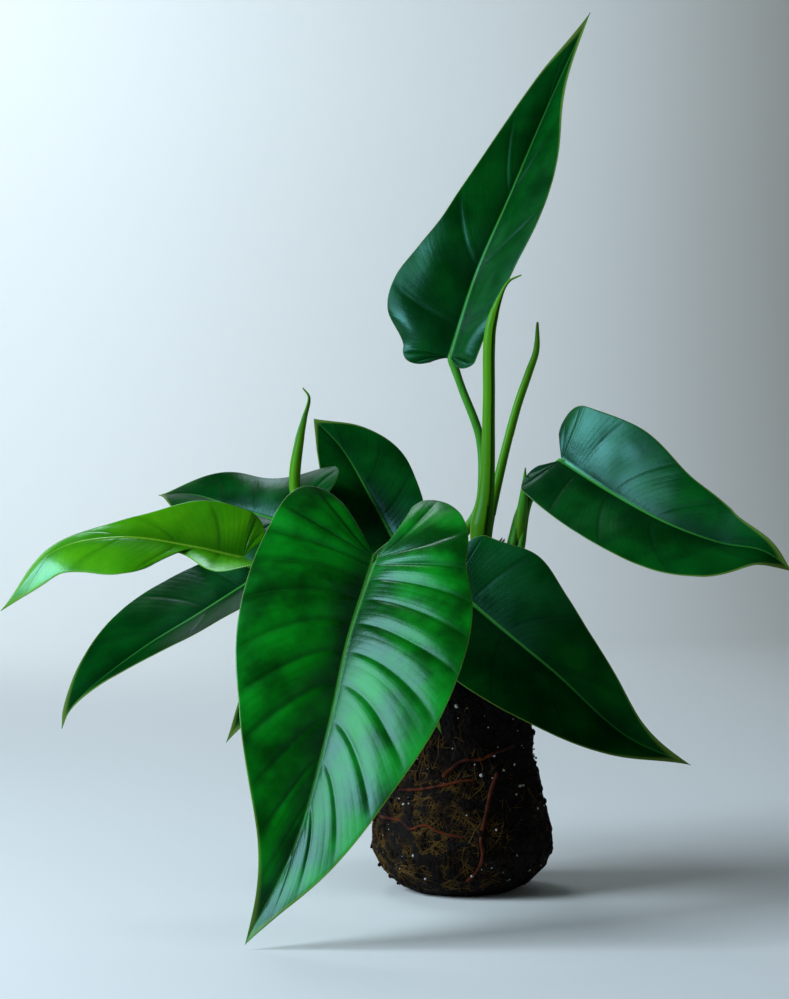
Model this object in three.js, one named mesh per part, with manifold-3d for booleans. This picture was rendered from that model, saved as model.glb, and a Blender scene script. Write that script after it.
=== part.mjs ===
// A young climbing philodendron lifted out of its nursery pot, standing on its own root ball.
// Long heart-shaped blades hang from round petioles, which clasp three short stems in the soil.
// Millimetres, +Z up, seen from the front along +Y. The origin is the centre of the flat
// underside of the root ball.
import * as THREE from "three";
import { mergeVertices } from "three/addons/utils/BufferGeometryUtils.js";
import Module from "manifold-3d";

const wasm = await Module();
wasm.setup();

// Driving dimensions
const FIT_GAP = 0.3;
const BLADE_THICKNESS = 0.8;
const NECK_LENGTH = 7;
const BLADE_ROWS = 20;
const PETIOLE_SIDES = 8;
const PETIOLE_STEP = 14;
const SPEAR_SIDES = 8;
const SPEAR_STEPS = 18;
const STEM_SIDES = 10;
const STEM_RINGS = 7;
const RING_SWELL = 0.07; // share of its radius by which a stem swells at a ring
const ROOT_SIDES = 4;
const ROOT_STEPS = 8;
const ROOT_TAPER = 0.6; // thickness of a coarse root's end, as a share of its start
const SHEATH_SIDES = 6;
const SHEATH_STEPS = 4;
const BALL_SIDES = 32;
const SOIL_TOP = 150;

const MATERIALS = {
  mature: material(0x0f5a2c, 0.35),
  front: material(0x1a7a2a, 0.32),
  young: material(0x4f9a12, 0.3),
  petiole: material(0x4f8f22, 0.45),
  sheath: material(0x5a9a1e, 0.4),
  stem: material(0x5d6b2c, 0.6),
  dried: material(0x5a3420, 0.85),
  soil: material(0x2a1d14, 0.95),
};

function material(color, roughness) {
  return new THREE.MeshStandardMaterial({ color, roughness, metalness: 0 });
}

const at = ([x, y, z]) => new THREE.Vector3(x, y, z);
const mix = THREE.MathUtils.lerp;
const radians = THREE.MathUtils.degToRad;
const smooth = (points) => new THREE.CatmullRomCurve3(points, false, "centripetal");

// Half the outline of a blade, from the back of a lobe round to the tip: along and across,
// as shares of the blade's length and half width, counted from where the petiole joins.
const OUTLINE = new THREE.SplineCurve(
  [
    [-0.135, 0.38],
    [-0.155, 0.56],
    [-0.13, 0.78],
    [-0.06, 0.94],
    [0.05, 1],
    [0.18, 0.985],
    [0.33, 0.9],
    [0.48, 0.76],
    [0.63, 0.57],
    [0.77, 0.36],
    [0.89, 0.16],
    [0.96, 0.055],
    [1, 0],
  ].map(([along, across]) => new THREE.Vector2(along, across)),
);
const LOBE_REACH = 0.155; // how far the lobes of that outline reach back
const LOBE_SHARE = 0.25; // the share of the side veins that fan out from the joint into a lobe
const LOBE_PLEATS = 2; // the side veins that dent a lobe
const VEIN_SPREAD = 1.5; // how much the side veins crowd towards the joint
const VEIN_SWEEP = 1.6; // how much a side vein turns towards the tip on its way out
const PLEAT_SHIFT = 1.3; // how much nearer to the margin than to the midrib a pleat is highest
const PLEAT_VARIETY = 0.35; // the share by which some pleats are higher than others
const RIB_REACH = 0.86; // the share of the midrib that stands out below the blade
const RIB_SEAT = 0.6; // how deep the petiole's knuckle hangs below the blade, in its own radii
const KNUCKLE_SWELL = 1.12; // how much thicker the knuckle is than the petiole
const KNUCKLE_SIDES = 10;
// Where the columns of a half blade stand between midrib and margin. The first is the rib's edge.
const COLUMNS = [0.07, 0.35, 0.68, 1];

// Each blade, from the joint with its petiole to its tip.
// midrib: points on the midrib. face: the way the upper side looks, at the joint and at the tip.
// width: the half widths to the left and right of the heart that each side follows, at even
// steps from joint to tip, with left and right as seen from above with the tip away from the eye.
// lobes: how far the left and right lobe reach back behind the joint, by what angle they
// droop on their way and how far they lean to the right.
// fold: the angle that each half rises from the midrib, at the joint and at the tip.
// curl: the angle that a half turns back down by its margin. wave: height, count and phase.
// pleats: how many side veins dent each half, and how high the blade swells between two of them.
// petiole: points from the axis of the stem to the joint. girth: its radius along the way.
// sheathTip: the free point of the sheath round a petiole, with its own path and girth.
// rows: rows of the mesh along the blade, where it needs more or fewer than usual.
const LEAVES = [
  {
    name: "tall",
    look: "mature",
    midrib: [[-7, 39, 356], [11, 45, 413], [35, 54, 469], [60, 64, 528], [92, 74, 600]],
    face: [[-0.6, -0.8, 0.1], [-0.55, -0.8, 0.1]],
    width: [[36, 54, 56, 48, 42, 41, 41, 42, 44, 47, 50, 48, 44], [32, 46, 58, 56, 30, 30]],
    lobes: { reach: [5, 4], droop: 30, skew: 0 },
    fold: [30, 25],
    curl: [15, 5],
    wave: [2.5, 2.5, 0.1],
    petiole: [[-12, 30, 176], [-6, 31, 222], [12, 32, 252], [15, 33, 274], [13, 36, 302], [1, 38, 335]],
    girth: [4.2, 2.7],
    pleats: { count: 5, depth: 3 },
  },
  {
    name: "right",
    look: "mature",
    midrib: [[66, -5, 285], [94, -33, 265], [128, -72, 244], [158, -100, 232],
      [183, -116, 227], [199, -120, 215]],
    face: [[-0.5, -0.7, 0.5], [0, -0.85, 0.4]],
    width: [[40, 48, 47, 54, 50], [36, 42, 54, 80, 94]],
    lobes: { reach: [14, 9], droop: 20, skew: 0 },
    fold: [24, 16],
    curl: [12, 10],
    wave: [2, 2, 0.4],
    petiole: [[14, 2, 170], [32, 0, 213], [36, 2, 228], [42, 5, 254], [53, 5, 273]],
    girth: [5.2, 6.2, 6.8, 6.4, 5, 3, 2.7],
    pleats: { count: 5, depth: 0.8 },
    sheathTip: { path: [[41, 1, 256], [41, -1, 267], [42, -4, 279]], girth: [4, 0.4] },
  },
  {
    name: "low_right",
    look: "mature",
    midrib: [[-8, -38, 203], [24, -54, 176], [57, -73, 149], [100, -95, 111], [139, -104, 94]],
    face: [[-0.3, -0.8, 0.5], [0.1, -0.9, 0.35]],
    width: [[41, 52, 48, 43, 43, 40, 33], [45, 55, 60, 42]],
    lobes: { reach: [10, 24], droop: 5, skew: 0 },
    fold: [22, 22],
    curl: [15, 10],
    wave: [1.5, 2, 0.2],
    petiole: [[14, 2, 158], [6, -16, 178], [-4, -30, 198]],
    girth: [4.2, 2.7],
    pleats: { count: 5, depth: 0.5 },
  },
  {
    name: "front",
    look: "front",
    midrib: [[-57, -110, 223], [-73, -142, 174], [-84, -168, 124], [-103, -194, 58], [-131, -208, 3]],
    face: [[-0.1, -0.85, 0.5], [-0.1, -0.95, 0.2]],
    width: [[63, 75, 83, 87, 87, 85, 84, 84, 84], [70, 72, 68, 46]],
    lobes: { reach: [47, 34], droop: 40, skew: 14 },
    fold: [28, 24],
    curl: [24, 18],
    wave: [1.5, 2, 0],
    petiole: [[14, 2, 194], [2, -5, 216], [-9, -22, 232], [-30, -64, 236], [-47, -94, 230]],
    girth: [4.6, 3.2],
    pleats: { count: 12, depth: 2.2 },
    rows: 48,
  },
  {
    name: "back",
    look: "mature",
    midrib: [[-40, 24, 221], [-60, 45, 258], [-82, 70, 295], [-102, 86, 316]],
    face: [[-0.1, -0.85, 0.5], [0, -0.8, 0.6]],
    width: [[30, 36, 44, 66], [24, 37, 58, 70]],
    lobes: { reach: [20, 20], droop: 30, skew: 0 },
    fold: [20, 10],
    curl: [25, 15],
    wave: [1.5, 2, 0.5],
    petiole: [[-12, 30, 168], [-28, 29, 195], [-38, 25, 214]],
    girth: [4, 2.5],
    pleats: { count: 5, depth: 0.4 },
  },
  {
    name: "young",
    look: "young",
    midrib: [[-142, -60, 221], [-175, -68, 229], [-219, -78, 235], [-260, -84, 226], [-292, -90, 189]],
    face: [[-0.1, -0.64, 0.77], [-0.5, -0.6, 0.6]],
    width: [[45, 44, 10, 34, 44, 44, 46, 54, 44], [34, 33, 22, 22, 44, 70]],
    lobes: { reach: [12, 8], droop: 20, skew: 0 },
    fold: [40, -35],
    curl: [10, 20],
    wave: [3, 2, 0.3],
    petiole: [[-30, 2, 166], [-56, -28, 190], [-98, -50, 210], [-134, -60, 216]],
    girth: [3.8, 2.4],
    pleats: { count: 5, depth: 0.8 },
  },
  {
    name: "left_back",
    look: "mature",
    midrib: [[-115, 10, 242], [-150, 40, 252], [-185, 75, 262], [-214, 110, 262]],
    face: [[-0.25, -0.75, 0.6], [-0.1, -0.5, 0.85]],
    width: [[42, 42, 42], [56, 36, 46, 54]],
    lobes: { reach: [20, 14], droop: 20, skew: 0 },
    fold: [20, 10],
    curl: [35, 20],
    wave: [3, 1.5, 0.2],
    petiole: [[-30, 2, 168], [-56, 4, 204], [-98, 8, 238]],
    girth: [3.8, 2.4],
    pleats: { count: 5, depth: 0.8 },
  },
  {
    name: "low_left",
    look: "mature",
    midrib: [[-136, 5, 208], [-175, -10, 183], [-209, -24, 162], [-245, -40, 134], [-256, -46, 121],
      [-260, -48, 111]],
    face: [[-0.53, -0.5, 0.68], [-0.45, -0.67, 0.59]],
    width: [[42, 40, 40, 28, 14], [40, 48, 54, 54, 44]],
    lobes: { reach: [18, 18], droop: 30, skew: 0 },
    fold: [13, 28],
    curl: [10, 10],
    wave: [1.5, 2, 0.6],
    petiole: [[-30, 2, 158], [-60, 0, 182], [-100, 4, 204], [-127, 5, 210]],
    girth: [3.8, 2.4],
    pleats: { count: 5, depth: 0.8 },
  },
  {
    name: "hidden_left",
    look: "mature",
    midrib: [[-100, -45, 178], [-122, -52, 150], [-141, -57, 122], [-153, -60, 103]],
    face: [[-0.2, -0.8, 0.4], [-0.2, -0.9, 0.2]],
    width: [[20, 16], [20, 16]],
    lobes: { reach: [12, 12], droop: 30, skew: 0 },
    fold: [25, 15],
    curl: [30, 20],
    wave: [0.5, 2, 0.6],
    petiole: [[-30, 2, 151], [-58, -20, 170], [-88, -40, 181]],
    girth: [2.8, 1.8],
    pleats: { count: 3, depth: 0.3 },
    rows: 12,
  },
  {
    name: "hidden_front",
    look: "mature",
    midrib: [[-30, -50, 162], [-27, -57, 146], [-22, -63, 126], [-15, -68, 110]],
    face: [[0, -0.95, 0.2], [0.1, -0.98, 0.1]],
    width: [[19, 9], [19, 9]],
    lobes: { reach: [12, 12], droop: 30, skew: 0 },
    fold: [25, 15],
    curl: [30, 20],
    wave: [0.5, 2, 0.6],
    petiole: [[-12, 30, 156], [-21, -8, 176], [-29, -40, 171]],
    girth: [2.8, 1.8],
    pleats: { count: 3, depth: 0.3 },
    rows: 12,
  },
];

// The three short stems, from inside the soil to their growing tips.
const STEMS = [
  { name: "stem_main", path: [[10, 4, 118], [13, 3, 160], [14, 1, 200], [14, 0, 224]], radius: 8.5 },
  { name: "stem_back", path: [[-10, 32, 118], [-12, 31, 150], [-12, 30, 184], [-8, 29, 214]], radius: 6.5 },
  { name: "stem_left", path: [[-26, 4, 118], [-29, 3, 150], [-31, 2, 184]], radius: 6.5 },
];

// Folded leaves that have yet to open, each from its foot to its drawn-out point.
// The profile gives the radius at even steps along the path.
const SPEARS = [
  {
    name: "spear_tall",
    path: [[13, 0, 225], [13, 0, 239], [15, 0, 252], [17, 0, 272], [18, -2, 325], [19, -4, 372],
      [25, -5, 393], [31, -6, 404], [39, -7, 408]],
    profile: [7, 7.6, 5.7, 4.9, 4.6, 4.3, 4.1, 4.1, 4.1, 3.4, 1.3, 0.5],
  },
  {
    name: "spear_right",
    path: [[15, 11, 212], [18, 18, 240], [26, 22, 276], [38, 24, 322], [46, 25, 345], [51, 25, 360],
      [52, 25, 379]],
    profile: [3.6, 3.8, 3.7, 3.5, 3.2, 3, 2.9, 2.8, 2.7, 2.5, 1.9, 0.8],
  },
  {
    name: "spear_left",
    path: [[-31, 1, 184], [-40, -8, 206], [-74, -24, 228], [-104, -32, 246], [-110, -30, 267],
      [-107, -30, 298], [-104, -29, 312], [-101, -28, 326], [-105, -26, 332]],
    profile: [3.2, 2.8, 2.6, 2.6, 2.8, 3.1, 3.4, 3.6, 3.5, 2.9, 1.5, 0.5],
  },
];

// The papery brown remains of old sheaths at the stems' tips.
const DRIED_SHEATHS = [
  { name: "dried_sheath_back", path: [[-8, 38, 205], [-5, 38, 230], [-2, 36, 243]], girth: [3.4, 1.4] },
  { name: "dried_sheath_main", path: [[20, -3, 222], [23, -4, 227], [27, -5, 232]], girth: [1.8, 0.9] },
];

// Radius of the root ball against height, from its flat underside up to the stems.
const BALL_PROFILE = [
  [0, 0],
  [34, 0],
  [44, 5],
  [53, 14],
  [59, 27],
  [59, 40],
  [56, 54],
  [51, 71],
  [48, 90],
  [46, 108],
  [45, 126],
  [41, 140],
  [32, SOIL_TOP],
  [0, SOIL_TOP + 2],
];

// The crumbly side of the ball stands in and out by a sum of swells. Each has a share of the
// radius, a number of swells round the ball, a rise in millimetres per radian and a phase.
const LUMPS = [
  [0.012, 2, 31, 0],
  [0.012, 3, -23, 1.7],
  [0.007, 7, 9, 0.4],
  [0.007, 5, -7, 0.6],
];

// The coarse roots that show on the ball: [degrees round from +X, height] at each turn.
const COARSE_ROOTS = [
  { radius: 1.3, turns: [[253, 79], [260, 85], [269, 90], [282, 91], [295, 95], [313, 99]] },
  { radius: 1.3, turns: [[214, 69], [236, 71], [252, 74], [267, 77], [278, 78]] },
  { radius: 1.4, turns: [[295, 83], [290, 73], [284, 55], [280, 41], [281, 31], [278, 20], [270, 12]] },
  { radius: 1.2, turns: [[197, 50], [226, 50], [233, 46], [244, 49], [254, 45], [270, 42]] },
  { radius: 1.3, turns: [[20, 100], [35, 70], [28, 44], [44, 18]] },
  { radius: 1.2, turns: [[60, 84], [90, 76], [120, 82], [150, 66]] },
  { radius: 1.4, turns: [[130, 112], [138, 80], [128, 50], [140, 20]] },
  { radius: 1.2, turns: [[160, 30], [130, 36], [95, 26], [60, 34]] },
];

// A closed solid from a geometry whose coincident corners are joined. Triangles that shrink
// to a line at a pole are dropped.
function solidFrom(positions, index) {
  const bare = new THREE.BufferGeometry();
  bare.setAttribute("position", new THREE.Float32BufferAttribute(positions, 3));
  bare.setIndex(index);
  const merged = mergeVertices(bare, 1e-3);
  const corners = merged.index.array;
  const triangles = [];
  for (let i = 0; i < corners.length; i += 3) {
    const [a, b, c] = corners.slice(i, i + 3);
    if (a !== b && b !== c && c !== a) triangles.push(a, b, c);
  }
  const vertProperties = merged.attributes.position.array;
  return new wasm.Manifold(
    new wasm.Mesh({ numProp: 3, vertProperties, triVerts: new Uint32Array(triangles) }),
  );
}

function solidFromGeometry(geometry) {
  return solidFrom(geometry.attributes.position.array, [...geometry.index.array]);
}

function meshFrom(name, solid, look) {
  const mesh = solid.getMesh();
  const geometry = new THREE.BufferGeometry();
  geometry.setAttribute("position", new THREE.BufferAttribute(mesh.vertProperties, 3));
  geometry.setIndex(new THREE.BufferAttribute(mesh.triVerts, 1));
  geometry.computeVertexNormals();
  const made = new THREE.Mesh(geometry, MATERIALS[look].clone());
  made.name = name;
  return made;
}

// A round bar along a curve: a lathe profile whose height becomes the way along the curve.
function bar(curve, radiusAt, steps, sides) {
  const profile = [new THREE.Vector2(0, 0)];
  for (let i = 0; i <= steps; i++) profile.push(new THREE.Vector2(radiusAt(i / steps), i));
  profile.push(new THREE.Vector2(0, steps));
  const lathe = new THREE.LatheGeometry(profile, sides);
  const { normals, binormals } = curve.computeFrenetFrames(steps);
  const centres = curve.getSpacedPoints(steps);
  const corners = lathe.attributes.position;
  const corner = new THREE.Vector3();
  for (let i = 0; i < corners.count; i++) {
    corner.fromBufferAttribute(corners, i);
    const step = Math.round(corner.y);
    const moved = centres[step]
      .clone()
      .addScaledVector(normals[step], corner.x)
      .addScaledVector(binormals[step], -corner.z);
    corners.setXYZ(i, moved.x, moved.y, moved.z);
  }
  return solidFromGeometry(lathe);
}

const taper = (from, to) => (share) => mix(from, to, share);

// A stepped profile read at a share of its length.
function profileAt(profile) {
  return (share) => {
    const place = share * (profile.length - 1);
    const step = Math.min(Math.floor(place), profile.length - 2);
    return mix(profile[step], profile[step + 1], place - step);
  };
}

// A row of values at even steps, read smoothly at a share of the way.
function smoothRow(values) {
  const row = new THREE.SplineCurve(values.map((value, step) => new THREE.Vector2(step, value)));
  return (share) => row.getPoint(share).y;
}

// The midrib of a blade: at a distance from the joint it gives the place, the way to the tip,
// the way the upper side looks and the way across. Behind the joint it droops into the lobes.
function midribOf(leaf) {
  const curve = smooth(leaf.midrib.map(at));
  const length = curve.getLength();
  const [faceAtJoint, faceAtTip] = leaf.face.map(at);
  const { reach, droop, skew } = leaf.lobes;
  const bendPerMm = radians(droop) / Math.max(...reach);
  const frameAt = (along) => {
    const share = THREE.MathUtils.clamp(along / length, 0, 1);
    const point = curve.getPointAt(share);
    const tangent = curve.getTangentAt(share);
    const normal = faceAtJoint.clone().lerp(faceAtTip, share);
    normal.addScaledVector(tangent, -normal.dot(tangent)).normalize();
    const across = tangent.clone().cross(normal);
    if (along < 0) {
      const bend = -along * bendPerMm;
      point.addScaledVector(tangent, -Math.sin(bend) / bendPerMm);
      point.addScaledVector(normal, (Math.cos(bend) - 1) / bendPerMm);
      point.addScaledVector(across, skew * (along / Math.max(...reach)) ** 2);
      normal.applyAxisAngle(across, bend);
      tangent.applyAxisAngle(across, bend);
    }
    return { point, tangent, normal, across };
  };
  return { length, frameAt, widthAt: leaf.width.map(smoothRow) };
}

// How far the waved margin and the pleats between the side veins lift the blade.
function waveHeight(leaf, vein, side, t) {
  const [height, count, phase] = leaf.wave;
  const wave = height * t * t * Math.sin(2 * Math.PI * (count * vein + phase * side));
  const past = vein - LOBE_SHARE;
  const perShare = past < 0 ? LOBE_PLEATS / LOBE_SHARE : leaf.pleats.count / (1 - LOBE_SHARE);
  const number = past * perShare;
  const variety = 1 + PLEAT_VARIETY * Math.sin(2.3 * number + side);
  const swell = variety * Math.abs(Math.sin(Math.PI * number));
  return wave + leaf.pleats.depth * swell * Math.sin(Math.PI * t ** PLEAT_SHIFT);
}

// A point of a blade and the way its upper side looks there. vein runs from 0 at the back of
// the lobes to 1 at the tip, and out from -1 at one margin over 0 at the midrib to 1.
function bladePoint(leaf, midrib, vein, out) {
  const { length, widthAt } = midrib;
  const hand = out < 0 ? 0 : 1;
  const side = Math.sign(out);
  const t = Math.abs(out);
  const margin = OUTLINE.getPoint(vein);
  const past = Math.max(0, (vein - LOBE_SHARE) / (1 - LOBE_SHARE));
  const root = length * past ** VEIN_SPREAD;
  const sweep = mix(1, VEIN_SWEEP, Math.min(1, vein / LOBE_SHARE));
  const end = margin.x * (margin.x < 0 ? leaf.lobes.reach[hand] / LOBE_REACH : length);
  const along = root + (end - root) * t ** sweep;
  const share = Math.max(0, along / length);
  const width = widthAt[hand](Math.max(0, margin.x));
  const across = width * margin.y * t;

  const frame = midrib.frameAt(along);
  const fold = radians(mix(...leaf.fold, share));
  const curl = radians(mix(...leaf.curl, share));
  const angle = fold - (curl * across) / width;
  const run = (width / curl) * (Math.sin(fold) - Math.sin(angle));
  const rise = (width / curl) * (Math.cos(angle) - Math.cos(fold));
  const point = frame.point
    .addScaledVector(frame.across, side * run)
    .addScaledVector(frame.normal, rise + waveHeight(leaf, vein, side, t) * margin.y);
  const up = frame.normal.clone();
  if (side) up.multiplyScalar(Math.cos(angle)).addScaledVector(frame.across, -side * Math.sin(angle));
  return { point, up };
}

// The blade as one thin solid, with both faces split into the same triangles. Its underside
// swells into the midrib.
function bladeSolid(leaf, midrib) {
  const steps = leaf.rows ?? BLADE_ROWS;
  const outs = [...COLUMNS.map((share) => -share).reverse(), 0, ...COLUMNS];
  const rows = steps + 1;
  const columns = outs.length;
  const positions = [];
  for (const face of [1, -1]) {
    for (let i = 0; i < rows; i++) {
      const vein = i / steps;
      for (const out of outs) {
        const { point, up } = bladePoint(leaf, midrib, vein, out);
        const rib = face < 0 && out === 0 ? ribDepth(leaf, vein) : 0;
        point.addScaledVector(up, (face * BLADE_THICKNESS) / 2 - rib);
        positions.push(point.x, point.y, point.z);
      }
    }
  }
  const top = (i, j) => i * columns + j;
  const under = (i, j) => top(i, j) + rows * columns;
  const last = columns - 1;
  const index = [];
  const quad = (a, b, c, d) => index.push(a, b, c, b, d, c);
  for (let i = 0; i < steps; i++) {
    for (let j = 0; j < last; j++) {
      quad(top(i, j), top(i, j + 1), top(i + 1, j), top(i + 1, j + 1));
      index.push(under(i, j), under(i + 1, j), under(i, j + 1));
      index.push(under(i, j + 1), under(i + 1, j), under(i + 1, j + 1));
    }
    quad(top(i, 0), top(i + 1, 0), under(i, 0), under(i + 1, 0));
    quad(under(i, last), under(i + 1, last), top(i, last), top(i + 1, last));
  }
  for (let j = 0; j < last; j++) {
    quad(under(0, j), under(0, j + 1), top(0, j), top(0, j + 1));
    quad(top(steps, j), top(steps, j + 1), under(steps, j), under(steps, j + 1));
  }
  return solidFrom(positions, index);
}

// How far the midrib stands out below the blade where a side vein leaves it.
function ribDepth(leaf, vein) {
  const past = Math.max(0, (vein - LOBE_SHARE) / (1 - LOBE_SHARE));
  return Math.max(0, leaf.girth.at(-1) * (1 - past / RIB_REACH));
}

// The knuckle under the joint and the neck that takes the petiole.
function knuckleSolid(leaf, joint, neck) {
  const radius = leaf.girth.at(-1);
  const knuckle = solidFromGeometry(
    new THREE.SphereGeometry(radius * KNUCKLE_SWELL, KNUCKLE_SIDES, KNUCKLE_SIDES / 2)
      .translate(joint.x, joint.y, joint.z),
  );
  const gap = neck.clone().sub(joint).setLength(FIT_GAP / 2);
  const stub = bar(new THREE.LineCurve3(joint, neck.clone().sub(gap)), () => radius, 1, PETIOLE_SIDES);
  return knuckle.add(stub);
}

// The tapering point of a sheath.
function sheathSolid({ path, girth }) {
  return bar(smooth(path.map(at)), taper(...girth), SHEATH_STEPS, SHEATH_SIDES);
}

function leafSolids(leaf) {
  const midrib = midribOf(leaf);
  const start = midrib.frameAt(0);
  const joint = start.point.clone().addScaledVector(start.normal, -RIB_SEAT * leaf.girth.at(-1));
  const away = at(leaf.petiole.at(-1)).sub(joint).setLength(NECK_LENGTH);
  const neck = joint.clone().add(away);
  const blade = bladeSolid(leaf, midrib).add(knuckleSolid(leaf, joint, neck));
  const end = neck.clone().addScaledVector(away, FIT_GAP / 2 / NECK_LENGTH);
  const route = smooth([...leaf.petiole.map(at), end]);
  const steps = Math.max(leaf.girth.length, Math.round(route.getLength() / PETIOLE_STEP));
  let petiole = bar(route, profileAt(leaf.girth), steps, PETIOLE_SIDES);
  if (leaf.sheathTip) petiole = petiole.add(sheathSolid(leaf.sheathTip));
  return { blade, petiole };
}

// Radius of the ball at a height, read straight between two points of its profile.
function ballRadius(height) {
  const above = BALL_PROFILE.findIndex(([radius, level]) => radius > 0 && level > height);
  const [[lowRadius, low], [highRadius, high]] = BALL_PROFILE.slice(above - 1, above + 1);
  return mix(lowRadius, highRadius, (height - low) / (high - low));
}

// How far the side of the ball stands in or out, as a share of its radius.
function lump(angle, height) {
  return LUMPS.reduce(
    (sum, [share, swells, rise, phase]) => sum + share * Math.sin(swells * angle + height / rise + phase),
    0,
  );
}

function ballSolid() {
  const profile = BALL_PROFILE.map(([radius, height]) => new THREE.Vector2(radius, height));
  const lathe = new THREE.LatheGeometry(profile, BALL_SIDES);
  const corners = lathe.attributes.position;
  for (let i = 0; i < corners.count; i++) {
    const [x, height, z] = [corners.getX(i), corners.getY(i), corners.getZ(i)];
    const angle = Math.atan2(-z, x);
    const radius = Math.hypot(x, z) * (1 + lump(angle, height));
    corners.setXYZ(i, radius * Math.cos(angle), radius * Math.sin(angle), height);
  }
  return solidFromGeometry(lathe);
}

// A coarse root, half sunk in the side of the ball.
function rootSolid({ radius, turns }) {
  const points = turns.map(([degrees, height]) => {
    const angle = radians(degrees);
    const out = ballRadius(height) * (1 + lump(angle, height));
    return at([out * Math.cos(angle), out * Math.sin(angle), height]);
  });
  return bar(smooth(points), taper(radius, radius * ROOT_TAPER), ROOT_STEPS, ROOT_SIDES);
}

// A stem with the rings that fallen leaves left on it.
function stemSolid({ path, radius }, grown) {
  const swell = (share) => radius * (1 + RING_SWELL * Math.cos(2 * Math.PI * STEM_RINGS * share)) + grown;
  return bar(smooth(path.map(at)), swell, 2 * STEM_RINGS, STEM_SIDES);
}

function buildPlant() {
  const plant = new THREE.Group();
  const add = (name, solid, look) => plant.add(meshFrom(name, solid, look));

  const clearance = wasm.Manifold.union(STEMS.map((stem) => stemSolid(stem, FIT_GAP)));
  const soil = wasm.Manifold.union([ballSolid(), ...COARSE_ROOTS.map(rootSolid)]);
  add("root_ball", soil.subtract(clearance), "soil");
  for (const stem of STEMS) add(stem.name, stemSolid(stem, 0), "stem");

  for (const leaf of LEAVES) {
    const { blade, petiole } = leafSolids(leaf);
    add(`${leaf.name}_blade`, blade, leaf.look);
    add(`${leaf.name}_petiole`, petiole.subtract(clearance), "petiole");
  }
  for (const spear of SPEARS) {
    const solid = bar(smooth(spear.path.map(at)), profileAt(spear.profile), SPEAR_STEPS, SPEAR_SIDES);
    add(spear.name, solid.subtract(clearance), "sheath");
  }
  for (const sheath of DRIED_SHEATHS) {
    add(sheath.name, sheathSolid(sheath).subtract(clearance), "dried");
  }
  return plant;
}

export default buildPlant();
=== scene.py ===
"""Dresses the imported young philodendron: finer blades, petioles, stems, rolled leaves and root ball
over the solids of the frame, with their finishes, a pale stage, soft lights and the camera.
Leaves are measured in millimetres and degrees, and every mesh is written in metres."""

import math
from typing import NamedTuple

import bmesh
import bpy
import numpy as np
from bpy.props import FloatProperty, IntProperty, PointerProperty, StringProperty
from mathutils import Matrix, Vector


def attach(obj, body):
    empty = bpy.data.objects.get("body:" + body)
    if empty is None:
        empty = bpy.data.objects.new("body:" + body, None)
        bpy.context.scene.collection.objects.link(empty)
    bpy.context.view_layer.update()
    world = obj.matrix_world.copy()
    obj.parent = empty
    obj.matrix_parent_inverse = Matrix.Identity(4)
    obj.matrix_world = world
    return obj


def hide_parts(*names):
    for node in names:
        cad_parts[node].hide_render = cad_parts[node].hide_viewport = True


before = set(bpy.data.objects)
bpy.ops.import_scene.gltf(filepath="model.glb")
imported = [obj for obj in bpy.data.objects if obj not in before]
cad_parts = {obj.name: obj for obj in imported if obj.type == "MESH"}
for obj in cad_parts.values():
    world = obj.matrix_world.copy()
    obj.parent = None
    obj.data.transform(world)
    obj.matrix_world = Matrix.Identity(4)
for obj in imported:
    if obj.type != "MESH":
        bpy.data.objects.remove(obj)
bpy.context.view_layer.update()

bl_info = {
    "name": "Young Philodendron",
    "version": (1, 0, 0),
    "blender": (4, 5, 0),
    "location": "3D View > Sidebar > Philodendron",
    "description": "Builds a young climbing philodendron standing on its bare root ball",
    "category": "Add Mesh",
}

MM = 0.001
PATH_STEPS = 60  # places worked out between two points of a smooth path
CLOSE_OVER = np.array([0, 0.3, 0.6, 0.85, 1])  # the radii, as shares, at which a tube's end closes
CLOSE_REACH = 0.7  # how far a tube's end stands out, in its own radii

# Large odd factors that scatter the corners of a noise's grid, its seed and their sum.
CORNER_FACTORS = np.array([73856093, 19349663, 83492791])
SEED_FACTOR = 7919
SUM_FACTOR = 1274126177

# Half the outline of a blade, from the back of a lobe round to the tip: along and across,
# as shares of the blade's length and half width, counted from where the petiole joins.
OUTLINE = [
    (-0.135, 0.38),
    (-0.155, 0.56),
    (-0.13, 0.78),
    (-0.06, 0.94),
    (0.05, 1),
    (0.18, 0.985),
    (0.33, 0.9),
    (0.48, 0.76),
    (0.63, 0.57),
    (0.77, 0.36),
    (0.89, 0.16),
    (0.96, 0.055),
    (1, 0),
]
LOBE_REACH = 0.155  # how far the lobes of that outline reach back
LOBE_SHARE = 0.25  # the share of the side veins that fan out from the joint into a lobe
LOBE_PLEATS = 2  # the side veins that dent a lobe
VEIN_SPREAD = 1.5  # how much the side veins crowd towards the joint
VEIN_SWEEP = 1.6  # how much a side vein turns towards the tip on its way out
PLEAT_SHIFT = 1.3  # how much nearer to the margin than to the midrib a pleat is highest
PLEAT_VARIETY = 0.35  # the share by which some pleats are higher than others
PLEAT_CHANGE = 2.3  # how fast that goes from pleat to pleat, in radians
CREASE_LEAST = 0.1  # how deep a side vein lies in a flat blade
CREASE_DEPTH = 0.07  # how much deeper it lies in a pleated one, as a share of the pleats
CREASE_WIDTH = 1.5
SHOULDER = 0.15  # how far the blade swells just past a side vein, as a share of the pleats
SHOULDER_WAY = 4  # how far past the vein that swelling is highest
SHOULDER_WIDTH = 2.6
FINE_VEINS = 4.2  # how far apart the fine veins between two side veins lie
FINE_DEPTH = 0.012
DRIFTS = ((0.5, 34), (0.16, 11))  # height and size of the unevenness of a blade
RIB_SHARES = (0.8, 0.2)  # half width of the midrib at the joint and at the tip, in petiole radii
CHANNEL_DEPTH = 0.5  # the shallow channel over the midrib, and its width in half widths of it
CHANNEL_WIDTH = 2.3
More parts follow.
